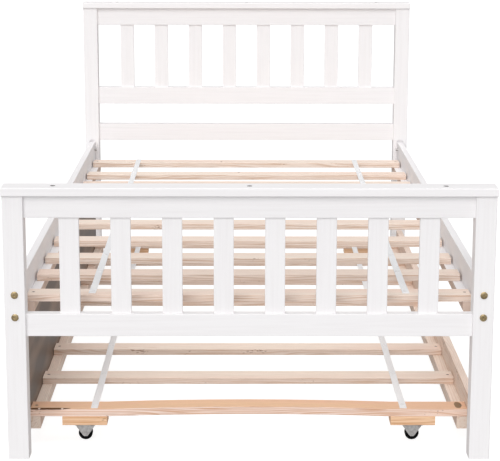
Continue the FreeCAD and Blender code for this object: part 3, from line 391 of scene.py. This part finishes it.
def split_and_wane(material, colours):
    """Add the front slat's faults: a filled split along its front edge at the left, dark wane at its right end."""
    tree = material.node_tree
    shader = tree.nodes["Principled BSDF"]
    low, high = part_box("trundle_slat_1")
    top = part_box("trundle_ledger_left")[1].z + FRONT_SLAT_THICKNESS
    place = add(tree, "TexCoord").outputs["Object"]
    wander = add(tree, "TexNoise", {"Scale": 1 / (25 * MM), "Detail": 2.0}, {"Vector": place}).outputs["Fac"]

    def near(centre, radii, waver):
        """The mask of an ellipsoid round a point, its rim made uneven by the wander."""
        scaled = add(tree, "VectorMath", {"operation": "MULTIPLY", 1: [1 / radius for radius in radii]}, {
            0: add(tree, "VectorMath", {"operation": "SUBTRACT", 1: centre}, {0: place}).outputs[0]})
        reach = add(tree, "VectorMath", {"operation": "LENGTH"}, {0: scaled.outputs[0]}).outputs["Value"]
        uneven = add(tree, "Math", {"operation": "MULTIPLY_ADD", 1: waver}, {0: wander, 2: reach}).outputs[0]
        return add(tree, "MapRange", {"From Min": 1.0 + waver / 2, "From Max": 0.85 + waver / 2},
                   {"Value": uneven}).outputs["Result"]

    edge = (low.y + 2.6 * MM, top)
    marks = [
        (near((low.x + 40 * MM, *edge), (54 * MM, 6 * MM, 3.0 * MM), 0.5), colours.split),
        (near((low.x + 20 * MM, *edge), (3.2 * MM, 3 * MM, 3 * MM), 0.3), colours.heart_side_shading_and_filler),
        (near((low.x + 72 * MM, *edge), (3.2 * MM, 3 * MM, 3 * MM), 0.3), colours.heart_side_shading_and_filler),
        (near((high.x - 18 * MM, high.y - 26 * MM, top), (9 * MM, 24 * MM, 6 * MM), 0.5), colours.wane)]
    tint = shader.inputs["Base Color"].links[0].from_socket
    for mask, fault in marks:
        tint = add(tree, "Mix", {"data_type": "RGBA", 7: fault}, {0: mask, 6: tint}).outputs[2]
    feed(shader, tint)


def painted_panel_board(colours, sizes, inside_x):
    """Lacquered board: satin white paint outside and on the edges, a bare taupe face inside with soft light and dark
    bands that are painted reflections and shade.
    """
    material, tree, shader = new_material("painted_panel_board", {"IOR": 1.48})
    tint, gloss, normal = paint_nodes(tree, colours, sizes, "Y")
    place = add(tree, "TexCoord").outputs["Object"]
    # Painted reflections and shade: soft bands between the bare face's taupe and a darker brown.
    bands = add(tree, "TexNoise", {"Scale": 1.0, "Detail": 2.0, "Roughness": 0.4}, {
        "Vector": add(tree, "Mapping", {"Scale": along_grain("Y", 420 * MM, 70 * MM)},
                      {"Vector": place}).outputs[0]}).outputs["Fac"]
    spread = add(tree, "MapRange", {"From Min": 0.38, "From Max": 0.6}, {"Value": bands}).outputs["Result"]
    bare = add(tree, "Mix", {"data_type": "RGBA", 6: colours.board_inside, 7: colours.board_shade_band},
               {0: spread}).outputs[2]
    inner = add(tree, "Math", {"operation": "GREATER_THAN", 1: inside_x}, {
        0: add(tree, "SeparateXYZ", links={"Vector": place}).outputs["X"]}).outputs[0]
    sides = add(tree, "Mix", {"data_type": "RGBA"}, {0: inner, 6: tint, 7: bare}).outputs[2]
    # The bare face is sealed to one even satin, without the paint's brush lines in its sheen.
    sheen = add(tree, "Mix", {3: 0.42}, {0: inner, 2: gloss}).outputs[0]
    feed(shader, sides, sheen, normal)
    return material


def woven_polypropylene(colours, sizes):
    """Flat woven tape of polypropylene yarn: cords along the strap, crossed by picks, with a plastic sheen."""
    material, tree, shader = new_material("woven_polypropylene", {"IOR": 1.49, "Roughness": 0.5, "Sheen Weight": 0.2})
    place = add(tree, "TexCoord").outputs["Object"]
    # Real cords are about 1 mm wide; these are as coarse as they need to be to show.
    cords, picks = (add(tree, "TexWave", {
        "bands_direction": axis, "Scale": 1 / (20 * sizes.cord) * math.tau, "Distortion": waver, "Detail": 1.0},
        {"Vector": place}).outputs["Fac"] for axis, waver in (("X", 0.6), ("Y", 0.8)))
    weave = add(tree, "Math", {"operation": "MULTIPLY"}, {0: cords, 1: picks}).outputs[0]
    # Painted shade: the tape is darker between its cords.
    tint = add(tree, "Mix", {"data_type": "RGBA", 6: colours.webbing_hollow_shade, 7: colours.webbing}, {
        0: add(tree, "MapRange", {"From Max": 0.4, "To Min": 0.35}, {"Value": weave}).outputs["Result"]})
    normal = add(tree, "Bump", {"Strength": 0.6, "Distance": 0.15 * MM}, {"Height": weave}).outputs[0]
    feed(shader, tint.outputs[2], normal=normal)
    return material


def plated_metal(name, bright, dull, roughness):
    """Plated steel: a clean metal with cloudy dull patches and fine drawing marks."""
    material, tree, shader = new_material(name, {"Metallic": 1.0})
    place = add(tree, "TexCoord").outputs["Object"]
    clouds = add(tree, "TexNoise", {"Scale": 1 / (7 * MM), "Detail": 4.0, "Roughness": 0.6},
                 {"Vector": place}).outputs["Fac"]
    spread = add(tree, "MapRange", {"From Min": 0.4, "From Max": 0.75}, {"Value": clouds}).outputs["Result"]
    tint = add(tree, "Mix", {"data_type": "RGBA", 6: bright, 7: dull}, {0: spread}).outputs[2]
    sheen = add(tree, "MapRange", {"To Min": roughness, "To Max": roughness + 0.2}, {"Value": clouds}).outputs["Result"]
    marks = add(tree, "TexNoise", {"Scale": 1 / (0.6 * MM), "Detail": 2.0}, {"Vector": place}).outputs["Fac"]
    normal = add(tree, "Bump", {"Strength": 0.4, "Distance": 0.02 * MM}, {"Height": marks}).outputs[0]
    feed(shader, tint, sheen, normal)
    return material


def moulded_rubber(colours):
    """Moulded black rubber: nearly black, dull, with a fine pebbled skin and a dusty bloom."""
    material, tree, shader = new_material(
        "moulded_rubber", {"IOR": 1.52, "Roughness": 0.75, "Specular IOR Level": 0.08})
    place = add(tree, "TexCoord").outputs["Object"]
    pebbles = add(tree, "TexNoise", {"Scale": 1 / (0.8 * MM), "Detail": 2.0}, {"Vector": place})
    dust = add(tree, "TexNoise", {"Scale": 1 / (9 * MM), "Detail": 3.0}, {"Vector": place})
    bloom = add(tree, "MapRange", {"From Min": 0.45, "From Max": 0.8, "To Max": 0.03},
                {"Value": dust.outputs["Fac"]}).outputs["Result"]
    tint = add(tree, "Mix", {"data_type": "RGBA", 6: colours.rubber, 7: colours.rubber_dust}, {0: bloom}).outputs[2]
    skin = add(tree, "Bump", {"Strength": 0.5, "Distance": 0.05 * MM}, {"Height": pebbles.outputs["Fac"]}).outputs[0]
    feed(shader, tint, normal=skin)
    return material


def finish_nodes(material, names):
    """Give CAD nodes a material in their own slots."""
    for name in names:
        for slot in NODES[name].material_slots:
            slot.material = material


# ---------------------------------------------------------------- modelling helpers

def start_clean():
    """Nothing selected and nothing in edit mode before a primitive is added."""
    if bpy.context.object and bpy.context.object.mode != "OBJECT":
        bpy.ops.object.mode_set(mode="OBJECT")
    bpy.ops.object.select_all(action="DESELECT")


def select_only(*objects):
    """Select these objects, the first one active."""
    start_clean()
    for item in objects:
        item.select_set(True)
    bpy.context.view_layer.objects.active = objects[0]


def pick(kind, test):
    """In edit mode, select exactly the faces, edges or vertices whose middle and normal pass a test."""
    bpy.ops.mesh.select_mode(type=kind)
    bpy.ops.mesh.select_all(action="DESELECT")
    mesh = bmesh.from_edit_mesh(bpy.context.object.data)
    parts = {"VERT": mesh.verts, "EDGE": mesh.edges, "FACE": mesh.faces}[kind]
    for part in parts:
        if kind == "VERT":
            chosen = test(part.co, part.normal)
        elif kind == "EDGE":
            chosen = test((part.verts[0].co + part.verts[1].co) / 2, part.verts[1].co - part.verts[0].co)
        else:
            chosen = test(part.calc_center_median(), part.normal)
        part.select_set(chosen)
    mesh.select_flush_mode()
    bmesh.update_edit_mesh(bpy.context.object.data)


def cut_away(target, cutter):
    """Subtract one object from another and throw the cutter away."""
    select_only(target)
    cut = target.modifiers.new("cut", "BOOLEAN")
    cut.object = cutter
    cut.solver = "EXACT"
    bpy.ops.object.modifier_apply(modifier=cut.name)
    bpy.data.objects.remove(cutter)


def bevel_sharp(target, width, segments, angle=math.radians(40)):
    """Round every edge of a piece that is sharper than an angle."""
    select_only(target)
    rounding = target.modifiers.new("rounding", "BEVEL")
    rounding.width = width
    rounding.segments = segments
    rounding.limit_method = "ANGLE"
    rounding.angle_limit = angle
    bpy.ops.object.modifier_apply(modifier=rounding.name)


def settle(target, name, material):
    """Finish a piece: its place goes into its mesh, its faces point outwards, it gets a name and a material."""
    select_only(target)
    bpy.ops.object.transform_apply(location=True, rotation=True, scale=True)
    bpy.ops.object.mode_set(mode="EDIT")
    bpy.ops.mesh.select_all(action="SELECT")
    bpy.ops.mesh.remove_doubles(threshold=0.002 * MM)
    bpy.ops.mesh.normals_make_consistent(inside=False)
    bpy.ops.object.mode_set(mode="OBJECT")
    bpy.ops.object.shade_smooth_by_angle(angle=math.radians(38))
    target.name = name
    target.data.name = name
    target.data.materials.clear()
    target.data.materials.append(material)
    return target


def copies(pattern, placements):
    """Copies of a piece, each with its own mesh, one for each matrix, joined into one object."""
    made = []
    for matrix in placements:
        twin = pattern.copy()
        twin.data = pattern.data.copy()
        bpy.context.scene.collection.objects.link(twin)
        twin.matrix_world = matrix
        made.append(twin)
    bpy.data.objects.remove(pattern)
    bpy.context.view_layer.update()
    select_only(*made)
    if len(made) > 1:
        bpy.ops.object.join()
    return bpy.context.object


def stands_for(piece, node):
    """Put a new piece in a CAD node's place: the same body, with the CAD node hidden."""
    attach(piece, BODY_OF[node])
    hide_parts(node)


def turned_to(direction, place):
    """A placement that turns a piece's own +Z towards a direction."""
    return Matrix.Translation(place) @ Vector(direction).to_track_quat("Z", "Y").to_matrix().to_4x4()


# ---------------------------------------------------------------- fasteners

def model_screw(head_radius, screw_length, countersunk, recess):
    """A wood screw, head up at the origin, with a cross recess."""
    start_clean()
    # A countersunk head is a cone to 45 degrees, a pan head a low drum with a rounded rim.
    depth = head_radius - SCREW_SHANK_RADIUS if countersunk else PAN_HEAD_HEIGHT
    top = 0.0 if countersunk else depth
    bpy.ops.mesh.primitive_cylinder_add(vertices=20, radius=head_radius, depth=depth, location=(0, 0, top - depth / 2))
    head = bpy.context.object
    bpy.ops.object.transform_apply(location=True, rotation=False, scale=False)
    bpy.ops.object.mode_set(mode="EDIT")
    pick("FACE", lambda middle, normal: normal.z < -0.9)
    if countersunk:
        bpy.ops.transform.resize(value=(SCREW_SHANK_RADIUS / head_radius, SCREW_SHANK_RADIUS / head_radius, 1.0))
    else:
        bpy.ops.mesh.inset(thickness=head_radius - SCREW_SHANK_RADIUS)
    straight = screw_length - SCREW_TIP - (depth if countersunk else 0.0)
    bpy.ops.mesh.extrude_region_move(TRANSFORM_OT_translate={"value": (0, 0, -straight)})
    bpy.ops.mesh.extrude_region_move(TRANSFORM_OT_translate={"value": (0, 0, -SCREW_TIP)})
    bpy.ops.transform.resize(value=(0.08, 0.08, 1.0))
    bpy.ops.object.mode_set(mode="OBJECT")
    for quarter in (0, 1):
        bpy.ops.mesh.primitive_cube_add(size=1.0, location=(0, 0, top))
        blade = bpy.context.object
        blade.scale = (recess, 0.9 * MM, 2.4 * MM)
        blade.rotation_euler = (0, 0, quarter * math.pi / 2)
        cut_away(head, blade)
    bevel_sharp(head, 0.12 * MM, 1, math.radians(60))
    return head


def put_screws(node, name, placements, head_radius, screw_length, countersunk, recess, material):
    """Model one screw, copy it to every placement, and let the group stand for its CAD node."""
    pattern = model_screw(head_radius, screw_length, countersunk, recess)
    stands_for(settle(copies(pattern, placements), name, material), node)


class BED_OT_bolts(bpy.types.Operator):
    """Model the connector bolts, with rounded heads and hexagon sockets, and the barrel nuts they meet"""
    bl_idname = "bed.bolts"
    bl_label = "Connector bolts"

    def execute(self, context):
        colours, sizes = context.scene.bed_colours, context.scene.bed_sizes
        brass = plated_metal("satin_brass_plate", colours.brass, colours.brass_dark, 0.2)
        zinc = plated_metal("barrel_nut_zinc_plate", colours.zinc, colours.zinc_dark, 0.34)
        low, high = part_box("connector_bolts")
        post_low, post_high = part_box("footboard_post_left")
        head_radius = (high.x - low.x) / 2 - (post_low.x + post_high.x) / -2
        head_height = post_low.y - low.y
        rise = high.z - low.z - 2 * head_radius

        start_clean()
        bpy.ops.mesh.primitive_cylinder_add(vertices=40, radius=head_radius, depth=head_height,
                                            location=(0, 0, head_height / 2))
        bolt = bpy.context.object
        bpy.ops.object.transform_apply(location=True, rotation=False, scale=False)
        bpy.ops.object.mode_set(mode="EDIT")
        pick("FACE", lambda middle, normal: normal.z < -0.9)
        bpy.ops.mesh.inset(thickness=head_radius - BOLT_SHANK_RADIUS)
        bpy.ops.mesh.extrude_region_move(TRANSFORM_OT_translate={"value": (0, 0, 2 * MM - BOLT_SHANK_LENGTH)})
        bpy.ops.mesh.extrude_region_move(TRANSFORM_OT_translate={"value": (0, 0, -2 * MM)})
        bpy.ops.transform.resize(value=(0.5, 0.5, 1.0))
        # The head's top edge is rolled over in four steps, so it shines as a ring.
        pick("EDGE", lambda middle, along: middle.z > 0.99 * head_height and middle.xy.length > 0.9 * head_radius)
        bpy.ops.mesh.bevel(offset=1.6 * MM, segments=4, affect="EDGES")
        bpy.ops.object.mode_set(mode="OBJECT")
        bpy.ops.mesh.primitive_cylinder_add(vertices=6, radius=sizes.socket / math.sqrt(3), depth=2 * head_height,
                                            location=(0, 0, 1.3 * head_height))
        cut_away(bolt, bpy.context.object)
        corners = [(end, side, lift) for end in BOARD_ENDS.values() for side in SIDES.values() for lift in (0, rise)]
        out = (high.x - low.x) / 2 - head_radius
        places = [turned_to((0, end, 0), (side * out, end * (high.y - head_height), low.z + head_radius + lift))
                  for end, side, lift in corners]
        bolts = settle(copies(bolt, places), "bolts_with_hex_sockets", brass)
        stands_for(bolts, "connector_bolts")

        low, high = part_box("barrel_nuts")
        rail_low, rail_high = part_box("side_rail_left")
        nut_length = high.x - (rail_low.x + rail_high.x) / -2 + NUT_BORE_DEPTH
        start_clean()
        bpy.ops.mesh.primitive_cylinder_add(vertices=32, radius=NUT_RADIUS, depth=nut_length,
                                            location=(0, 0, -nut_length / 2))
        nut = bpy.context.object
        bevel_sharp(nut, 0.5 * MM, 2)
        bpy.ops.mesh.primitive_cube_add(size=1.0, location=(0, 0, 0))
        slot_cutter = bpy.context.object
        slot_cutter.scale = (12 * MM, 1.3 * MM, 3 * MM)
        cut_away(nut, slot_cutter)
        bpy.ops.mesh.primitive_cylinder_add(vertices=24, radius=NUT_BORE_RADIUS, depth=3 * NUT_RADIUS,
                                            location=(0, 0, -NUT_BORE_DEPTH), rotation=(math.pi / 2, 0, 0))
        cut_away(nut, bpy.context.object)
        # Each nut's threaded hole meets its bolt, so its slot lies along the rail.
        places = [turned_to((-side, 0, 0),
                            (-side * rail_high.x, end * (high.y - NUT_RADIUS), low.z + NUT_RADIUS + lift))
                  for end, side, lift in corners]
        nuts = settle(copies(nut, places), "slotted_barrel_nuts", zinc)
        stands_for(nuts, "barrel_nuts")
        return {"FINISHED"}


class BED_OT_screws(bpy.types.Operator):
    """Model the wood screws, each with a cross recess, wherever the frame has one, and finish the staples"""
    bl_idname = "bed.screws"
    bl_label = "Screws"

    def execute(self, context):
        colours, sizes = context.scene.bed_colours, context.scene.bed_sizes
        zinc = plated_metal("zinc_plated_screw_steel", colours.screw, colours.screw_dark, 0.4)
        head, up = SCREW_HEAD_RADIUS, (0, 0, 1)

        low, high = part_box("bed_slat_screws")
        rows = [turned_to(up, (x, y, high.z)) for x in (low.x + head, high.x - head)
                for y in (low.y + head, high.y - head)]
        put_screws("bed_slat_screws", "bed_slat_cross_screws", rows, head, SLAT_SCREW_LENGTH, True, sizes.recess, zinc)

        low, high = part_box("trundle_slat_screws")
        ledger_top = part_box("trundle_ledger_left")[1].z
        rows = []
        for number in range(1, 9):
            slat_low, slat_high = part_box(f"trundle_slat_{number}")
            thickness = FRONT_SLAT_THICKNESS if number == 1 else slat_high.z - slat_low.z
            middle, face = (slat_low.y + slat_high.y) / 2, ledger_top + thickness - SCREW_SINK
            rows += [turned_to(up, (x, middle, face)) for x in (low.x + head, high.x - head)]
        put_screws("trundle_slat_screws", "trundle_slat_cross_screws", rows, head, SLAT_SCREW_LENGTH, True,
                   sizes.recess, zinc)

        for deck, count, reach in (("bed", 5, BED_LEDGER_SCREW_LENGTH), ("trundle", 6, TRUNDLE_LEDGER_SCREW_LENGTH)):
            low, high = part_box(f"{deck}_ledger_screws")
            face = SCREW_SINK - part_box(f"{deck}_ledger_left")[1].x
            step = (high.y - low.y - 2 * head) / (count - 1)
            rows = [turned_to((-side, 0, 0), (side * face, low.y + head + step * row, (low.z + high.z) / 2))
                    for side in SIDES.values() for row in range(count)]
            put_screws(f"{deck}_ledger_screws", f"{deck}_ledger_cross_screws", rows, head, reach, True,
                       sizes.recess, zinc)

        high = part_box("caster_screws")[1]
        plate_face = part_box("caster_blocks")[0].z - CASTER_SHEET
        steps = (0, CASTER_SCREW_SPREAD)
        rows = [turned_to((0, 0, -1),
                          (x_side * (high.x - head - x_step), y_side * (high.y - head - y_step), plate_face))
                for x_side in (-1, 1) for y_side in (-1, 1) for x_step in steps for y_step in steps]
        put_screws("caster_screws", "caster_pan_screws", rows, head, CASTER_SCREW_LENGTH, False, sizes.recess, zinc)

        low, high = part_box("cap_screws")
        head = CAP_SCREW_HEAD_RADIUS
        rows = [turned_to(up, (x, end * (high.y - head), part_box(f"{name}_cap")[1].z - CAP_COUNTERBORE))
                for name, end in BOARD_ENDS.items() for x in (low.x + head, 0, high.x - head)]
        put_screws("cap_screws", "cap_pan_screws", rows, head, CAP_SCREW_LENGTH, False, sizes.recess, zinc)

        staples = plated_metal("galvanised_staple_wire", colours.galvanised, colours.zinc, 0.45)
        finish_nodes(staples, ("bed_strap_staples", "trundle_strap_staples"))
        return {"FINISHED"}


# ---------------------------------------------------------------- casters

class BED_OT_casters(bpy.types.Operator):
    """Model the four wheels, and finish their brackets and axles"""
    bl_idname = "bed.casters"
    bl_label = "Casters"

    def execute(self, context):
        colours = context.scene.bed_colours
        rubber = moulded_rubber(colours)
        zinc = plated_metal("zinc_plated_pressed_steel", colours.zinc, colours.zinc_dark, 0.38)
        finish_nodes(zinc, ("caster_brackets", "caster_axles"))
        for name in [node for node in NODES if node.startswith("caster_wheel_")]:
            low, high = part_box(name)
            centre = (low + high) / 2
            radius = (high.z - low.z) / 2
            hub_width = high.y - low.y
            tread = hub_width - 1 * MM
            start_clean()
            bpy.ops.mesh.primitive_cylinder_add(vertices=56, radius=radius, depth=tread)
            wheel = bpy.context.object
            bpy.ops.object.mode_set(mode="EDIT")
            pick("EDGE", lambda middle, along: abs(along.z) < 0.1 * MM and middle.xy.length > 0.9 * radius)
            bpy.ops.mesh.bevel(offset=1.8 * MM, segments=3, affect="EDGES")
            for end in (-1, 1):
                # Each side face: a flat rim, a dished web and a raised hub round the axle.
                pick("FACE", lambda middle, normal: normal.z * end > 0.99 and middle.xy.length < 0.2 * radius)
                bpy.ops.mesh.inset(thickness=1.4 * MM)
                bpy.ops.mesh.inset(thickness=0.8 * MM, depth=-1.8 * MM)
                bpy.ops.mesh.inset(thickness=5.0 * MM)
                bpy.ops.mesh.inset(thickness=0.6 * MM, depth=1.8 * MM + (hub_width - tread) / 2)
            bpy.ops.object.mode_set(mode="OBJECT")
            for step in range(6):
                # Ribs stiffen the web between hub and rim.
                angle = step * math.tau / 6
                bpy.ops.mesh.primitive_cube_add(
                    size=1.0, location=(0.6 * radius * math.cos(angle), 0.6 * radius * math.sin(angle), 0),
                    rotation=(0, 0, angle), scale=(0.52 * radius, 1.3 * MM, tread - 1.4 * MM))
                rib = bpy.context.object
                bevel_sharp(rib, 0.3 * MM, 1)
                select_only(wheel, rib)
                bpy.ops.object.join()
                wheel = bpy.context.object
            bpy.ops.mesh.primitive_cylinder_add(vertices=32, radius=AXLE_BORE_RADIUS, depth=2 * hub_width)
            cut_away(wheel, bpy.context.object)
            wheel.matrix_world = turned_to((0, 1, 0), centre)
            piece = settle(wheel, name.replace("caster_wheel", "ribbed_wheel"), rubber)
            stands_for(piece, name)
        return {"FINISHED"}


# ---------------------------------------------------------------- webbing

def strap_path(slats, top, gap, sag, front, back):
    """Side view of a strap's underside: flat over each slat, with a shallow dip between two of them."""
    points = [(front, top[0] + gap)]
    for number, ((low, high), height) in enumerate(zip(slats, top)):
        if number:
            before_y, before_z = points[-1]
            for step in range(1, 8):
                share = step / 8
                dip = 4 * sag * share * (1 - share)
                points.append((before_y + (low - before_y) * share,
                               before_z + (height + gap - before_z) * share - dip))
            points.append((low, height + gap))
        points.append((min(high, back), height + gap))
    return points


def model_strap(name, centre_x, width, path, material):
    """A strap: a strip of four cords' width pushed along its path, thickened and rounded at its selvedges."""
    start_clean()
    bpy.ops.mesh.primitive_grid_add(x_subdivisions=4, y_subdivisions=1, size=width, location=(centre_x, 0, 0))
    strap = bpy.context.object
    bpy.ops.object.transform_apply(location=True, rotation=False, scale=False)
    bpy.ops.object.mode_set(mode="EDIT")
    start, second = path[0], path[1]
    pick("VERT", lambda place, normal: place.y < 0)
    bpy.ops.transform.translate(value=(0, start[0] + width / 2, start[1]))
    pick("VERT", lambda place, normal: place.y > start[0] + 1e-6)
    bpy.ops.transform.translate(value=(0, second[0] - width / 2, second[1]))
    for before, after in zip(path[1:], path[2:]):
        bpy.ops.mesh.extrude_region_move(
            TRANSFORM_OT_translate={"value": (0, after[0] - before[0], after[1] - before[1])})
    bpy.ops.object.mode_set(mode="OBJECT")
    select_only(strap)
    thick = strap.modifiers.new("thickness", "SOLIDIFY")
    thick.thickness = TAPE_THICKNESS
    thick.offset = 1.0
    bpy.ops.object.modifier_apply(modifier=thick.name)
    bevel_sharp(strap, 0.35 * MM, 2)
    return settle(strap, name, material)


class BED_OT_webbing(bpy.types.Operator):
    """Lay the four webbing straps over the slats"""
    bl_idname = "bed.webbing"
    bl_label = "Webbing straps"

    def execute(self, context):
        colours, sizes = context.scene.bed_colours, context.scene.bed_sizes
        tape = woven_polypropylene(colours, sizes)
        decks = {
            "bed": [f"bed_slat_{number:02d}" for number in range(1, 11)],
            "trundle": [f"trundle_slat_{number}" for number in range(1, 9)],
        }
        for deck, slats in decks.items():
            for side in SIDES:
                node = f"{deck}_strap_{side}"
                low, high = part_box(node)
                boxes = [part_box(slat) for slat in slats]
                tops = [box[1].z for box in boxes]
                if deck == "trundle":
                    tops[0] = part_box("trundle_ledger_left")[1].z + FRONT_SLAT_THICKNESS
                gap = (high.z - TAPE_THICKNESS) - tops[0]
                path = strap_path([(box[0].y, box[1].y) for box in boxes], tops, gap, sizes.strap_sag, low.y, high.y)
                strap = model_strap(f"{deck}_webbing_{side}", (low.x + high.x) / 2, high.x - low.x, path, tape)
                stands_for(strap, node)
        return {"FINISHED"}


# ---------------------------------------------------------------- wood

class BED_OT_paint(bpy.types.Operator):
    """Paint the headboard, the footboard, the side rails and their ledgers, and the trundle's front panel"""
    bl_idname = "bed.paint"
    bl_label = "Painted boards"

    def execute(self, context):
        colours, sizes = context.scene.bed_colours, context.scene.bed_sizes
        runs = {"Z": ("upright", ("_post_", "_spindles")), "Y": ("lengthwise", ("side_rail_",)),
                "X": ("crosswise", ("board_top_rail", "board_middle_rail", "board_lower_rail", "board_bottom_rail"))}
        for axis, (word, marks) in runs.items():
            finish_nodes(satin_paint_on_pine(f"satin_paint_on_{word}_pine", colours, sizes, axis),
                         [node for node in NODES_OF["bed_frame"] if any(mark in node for mark in marks)])
        ledger_low, ledger_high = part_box("bed_ledger_right")
        finish_nodes(satin_paint_on_pine(
            "satin_paint_on_ledgers", colours, sizes, "Y",
            lambda tree: sawn_ends_and_back(tree, ledger_high.y - MASK_MARGIN, ledger_low.x + MASK_MARGIN),
            colours.pine_end),
            ("bed_ledger_left", "bed_ledger_right"))
        # Each cap's screw-hole walls take painted shade.
        screws_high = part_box("cap_screws")[1]
        head = CAP_SCREW_HEAD_RADIUS
        for name, end in BOARD_ENDS.items():
            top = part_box(f"{name}_cap")[1].z - MASK_MARGIN
            finish_nodes(satin_paint_on_pine(
                f"satin_paint_on_{name}_cap", colours, sizes, "X",
                lambda tree: shaded_hole_walls(tree, screws_high.x - head, end * (screws_high.y - head), 1.3 * head, top),
                colours.hole_wall_shade),
                (f"{name}_cap",))
        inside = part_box("trundle_front_panel")[1].x - 1.2 * MM
        finish_nodes(painted_panel_board(colours, sizes, inside), ("trundle_front_panel",))
        return {"FINISHED"}


class BED_OT_pine(bpy.types.Operator):
    """Finish the bare pine: slats, the trundle's ledgers and back rail, and the caster blocks"""
    bl_idname = "bed.pine"
    bl_label = "Bare pine"

    def execute(self, context):
        colours, sizes = context.scene.bed_colours, context.scene.bed_sizes
        late, heart, heart_late = colours.pine_late, colours.heart, colours.heart_late
        # The third colour of each finish is painted on its upright faces as shade.
        finishes = {
            "bed_slats": ((colours.pine, colours.pine_pink, colours.pine_side_shade, late), "X",
                          [f"bed_slat_{number:02d}" for number in range(1, 11)]),
            "trundle_slats": ((colours.pine, colours.pine_pink, colours.pine_side_shade_under_bed, late), "X",
                              [f"trundle_slat_{number}" for number in range(2, 9)]),
            "along": ((colours.pine_pink, colours.pine, colours.pine_side_shade_under_bed, late), "Y",
                      ["trundle_ledger_left", "trundle_ledger_right", "trundle_back_rail"]),
            "blocks": ((heart, heart, heart, heart_late), "X", ["caster_blocks"]),
            "front_slat": ((heart, colours.heart_pink, colours.heart_side_shading_and_filler, heart_late), "X", ["trundle_slat_1"]),
        }
        for name, (tones, axis, nodes) in finishes.items():
            material = sanded_pine(f"sanded_pine_{name}", *tones, colours.knot, sizes, axis)
            if name == "front_slat":
                split_and_wane(material, colours)
            finish_nodes(material, nodes)
        return {"FINISHED"}


# ---------------------------------------------------------------- studio

class BED_OT_studio(bpy.types.Operator):
    """Set up the floor, the light and the camera"""
    bl_idname = "bed.studio"
    bl_label = "Studio"

    def execute(self, context):
        scene = context.scene
        studio, colours = scene.bed_studio, scene.bed_colours

        start_clean()
        bpy.ops.mesh.primitive_plane_add(size=120, location=(0, 0, 0))
        floor = bpy.context.object
        floor.name = "studio_floor"
        # Paper over a light table: it glows evenly, so that the bed stands in no hard shadow.
        material, _, _ = new_material("backlit_white_paper", {
            "Base Color": tuple(0.36 * level for level in colours.floor[:3]) + (1.0,), "Roughness": 0.9,
            "Specular IOR Level": 0.1, "Emission Color": colours.floor, "Emission Strength": studio.floor_glow})
        floor.data.materials.append(material)
        # The floor's glow is for the eye alone: the bed is lit by the fill and the key.
        floor.visible_diffuse = floor.visible_glossy = False

        world = bpy.data.worlds.new("even_fill")
        scene.world = world
        world.use_nodes = True
        background = world.node_tree.nodes["Background"]
        background.inputs["Color"].default_value = (1.0, 1.0, 1.0, 1.0)
        background.inputs["Strength"].default_value = studio.sky

        for name, power, height in (("key_light", studio.key, studio.key_height),
                                    ("top_light", studio.top, math.pi / 2)):
            bpy.ops.object.light_add(type="SUN", rotation=(math.pi / 2 - height, 0, -studio.key_side))
            light = bpy.context.object
            light.name = name
            light.data.energy = power
            light.data.angle = studio.key_spread

        slat_low, slat_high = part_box("bed_slat_01")[0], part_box("bed_slat_10")[1]
        bpy.ops.object.light_add(type="AREA", location=(0, 0, slat_low.z - 30 * MM))
        fill = bpy.context.object
        fill.name = "under_bed_fill"
        fill.data.shape = "RECTANGLE"
        fill.data.size = slat_high.x - slat_low.x
        fill.data.size_y = slat_high.y - slat_low.y
        fill.data.energy = studio.under_bed
        fill.visible_camera = fill.visible_glossy = False

        heading, pitch = studio.camera_heading, studio.camera_pitch
        forward = Vector((math.sin(heading) * math.cos(pitch), math.cos(heading) * math.cos(pitch), -math.sin(pitch)))
        right = Vector((math.cos(heading), -math.sin(heading), 0))
        over = right.cross(forward)
        roll = studio.camera_roll
        leaned = math.cos(roll) * right + math.sin(roll) * over
        upright = math.cos(roll) * over - math.sin(roll) * right
        turn = Matrix((leaned, upright, -forward)).transposed()
        bpy.ops.object.camera_add(location=studio.camera_place, rotation=turn.to_euler())
        camera = bpy.context.object
        camera.name = "front_camera"
        camera.data.sensor_width = 36.0
        camera.data.lens = studio.camera_lens
        camera.data.clip_end = 200.0
        scene.camera = camera
        scene.view_settings.view_transform = "Standard"
        return {"FINISHED"}


class BED_PT_panel(bpy.types.Panel):
    """Settings and steps of the bed"""
    bl_idname = "BED_PT_panel"
    bl_label = "Trundle bed"
    bl_space_type = "VIEW_3D"
    bl_region_type = "UI"
    bl_category = "Trundle bed"

    def draw(self, context):
        for settings in (context.scene.bed_sizes, context.scene.bed_colours, context.scene.bed_studio):
            box = self.layout.box()
            for name in settings.__annotations__:
                box.prop(settings, name)
        for operator in STEPS:
            self.layout.operator(operator.bl_idname)


STEPS = (BED_OT_studio, BED_OT_paint, BED_OT_pine, BED_OT_webbing, BED_OT_bolts, BED_OT_screws, BED_OT_casters)
CLASSES = (BedColours, BedSizes, BedStudio, *STEPS, BED_PT_panel)


def register():
    """Register the classes and hang the settings on the scene."""
    for item in CLASSES:
        bpy.utils.register_class(item)
    bpy.types.Scene.bed_colours = bpy.props.PointerProperty(type=BedColours)
    bpy.types.Scene.bed_sizes = bpy.props.PointerProperty(type=BedSizes)
    bpy.types.Scene.bed_studio = bpy.props.PointerProperty(type=BedStudio)


def unregister():
    """Take the settings and the classes away again."""
    del bpy.types.Scene.bed_studio, bpy.types.Scene.bed_sizes, bpy.types.Scene.bed_colours
    for item in reversed(CLASSES):
        bpy.utils.unregister_class(item)


def main():
    register()
    for operator in STEPS:
        group, name = operator.bl_idname.split(".")
        getattr(getattr(bpy.ops, group), name)()


if __name__ == "__main__":
    main()
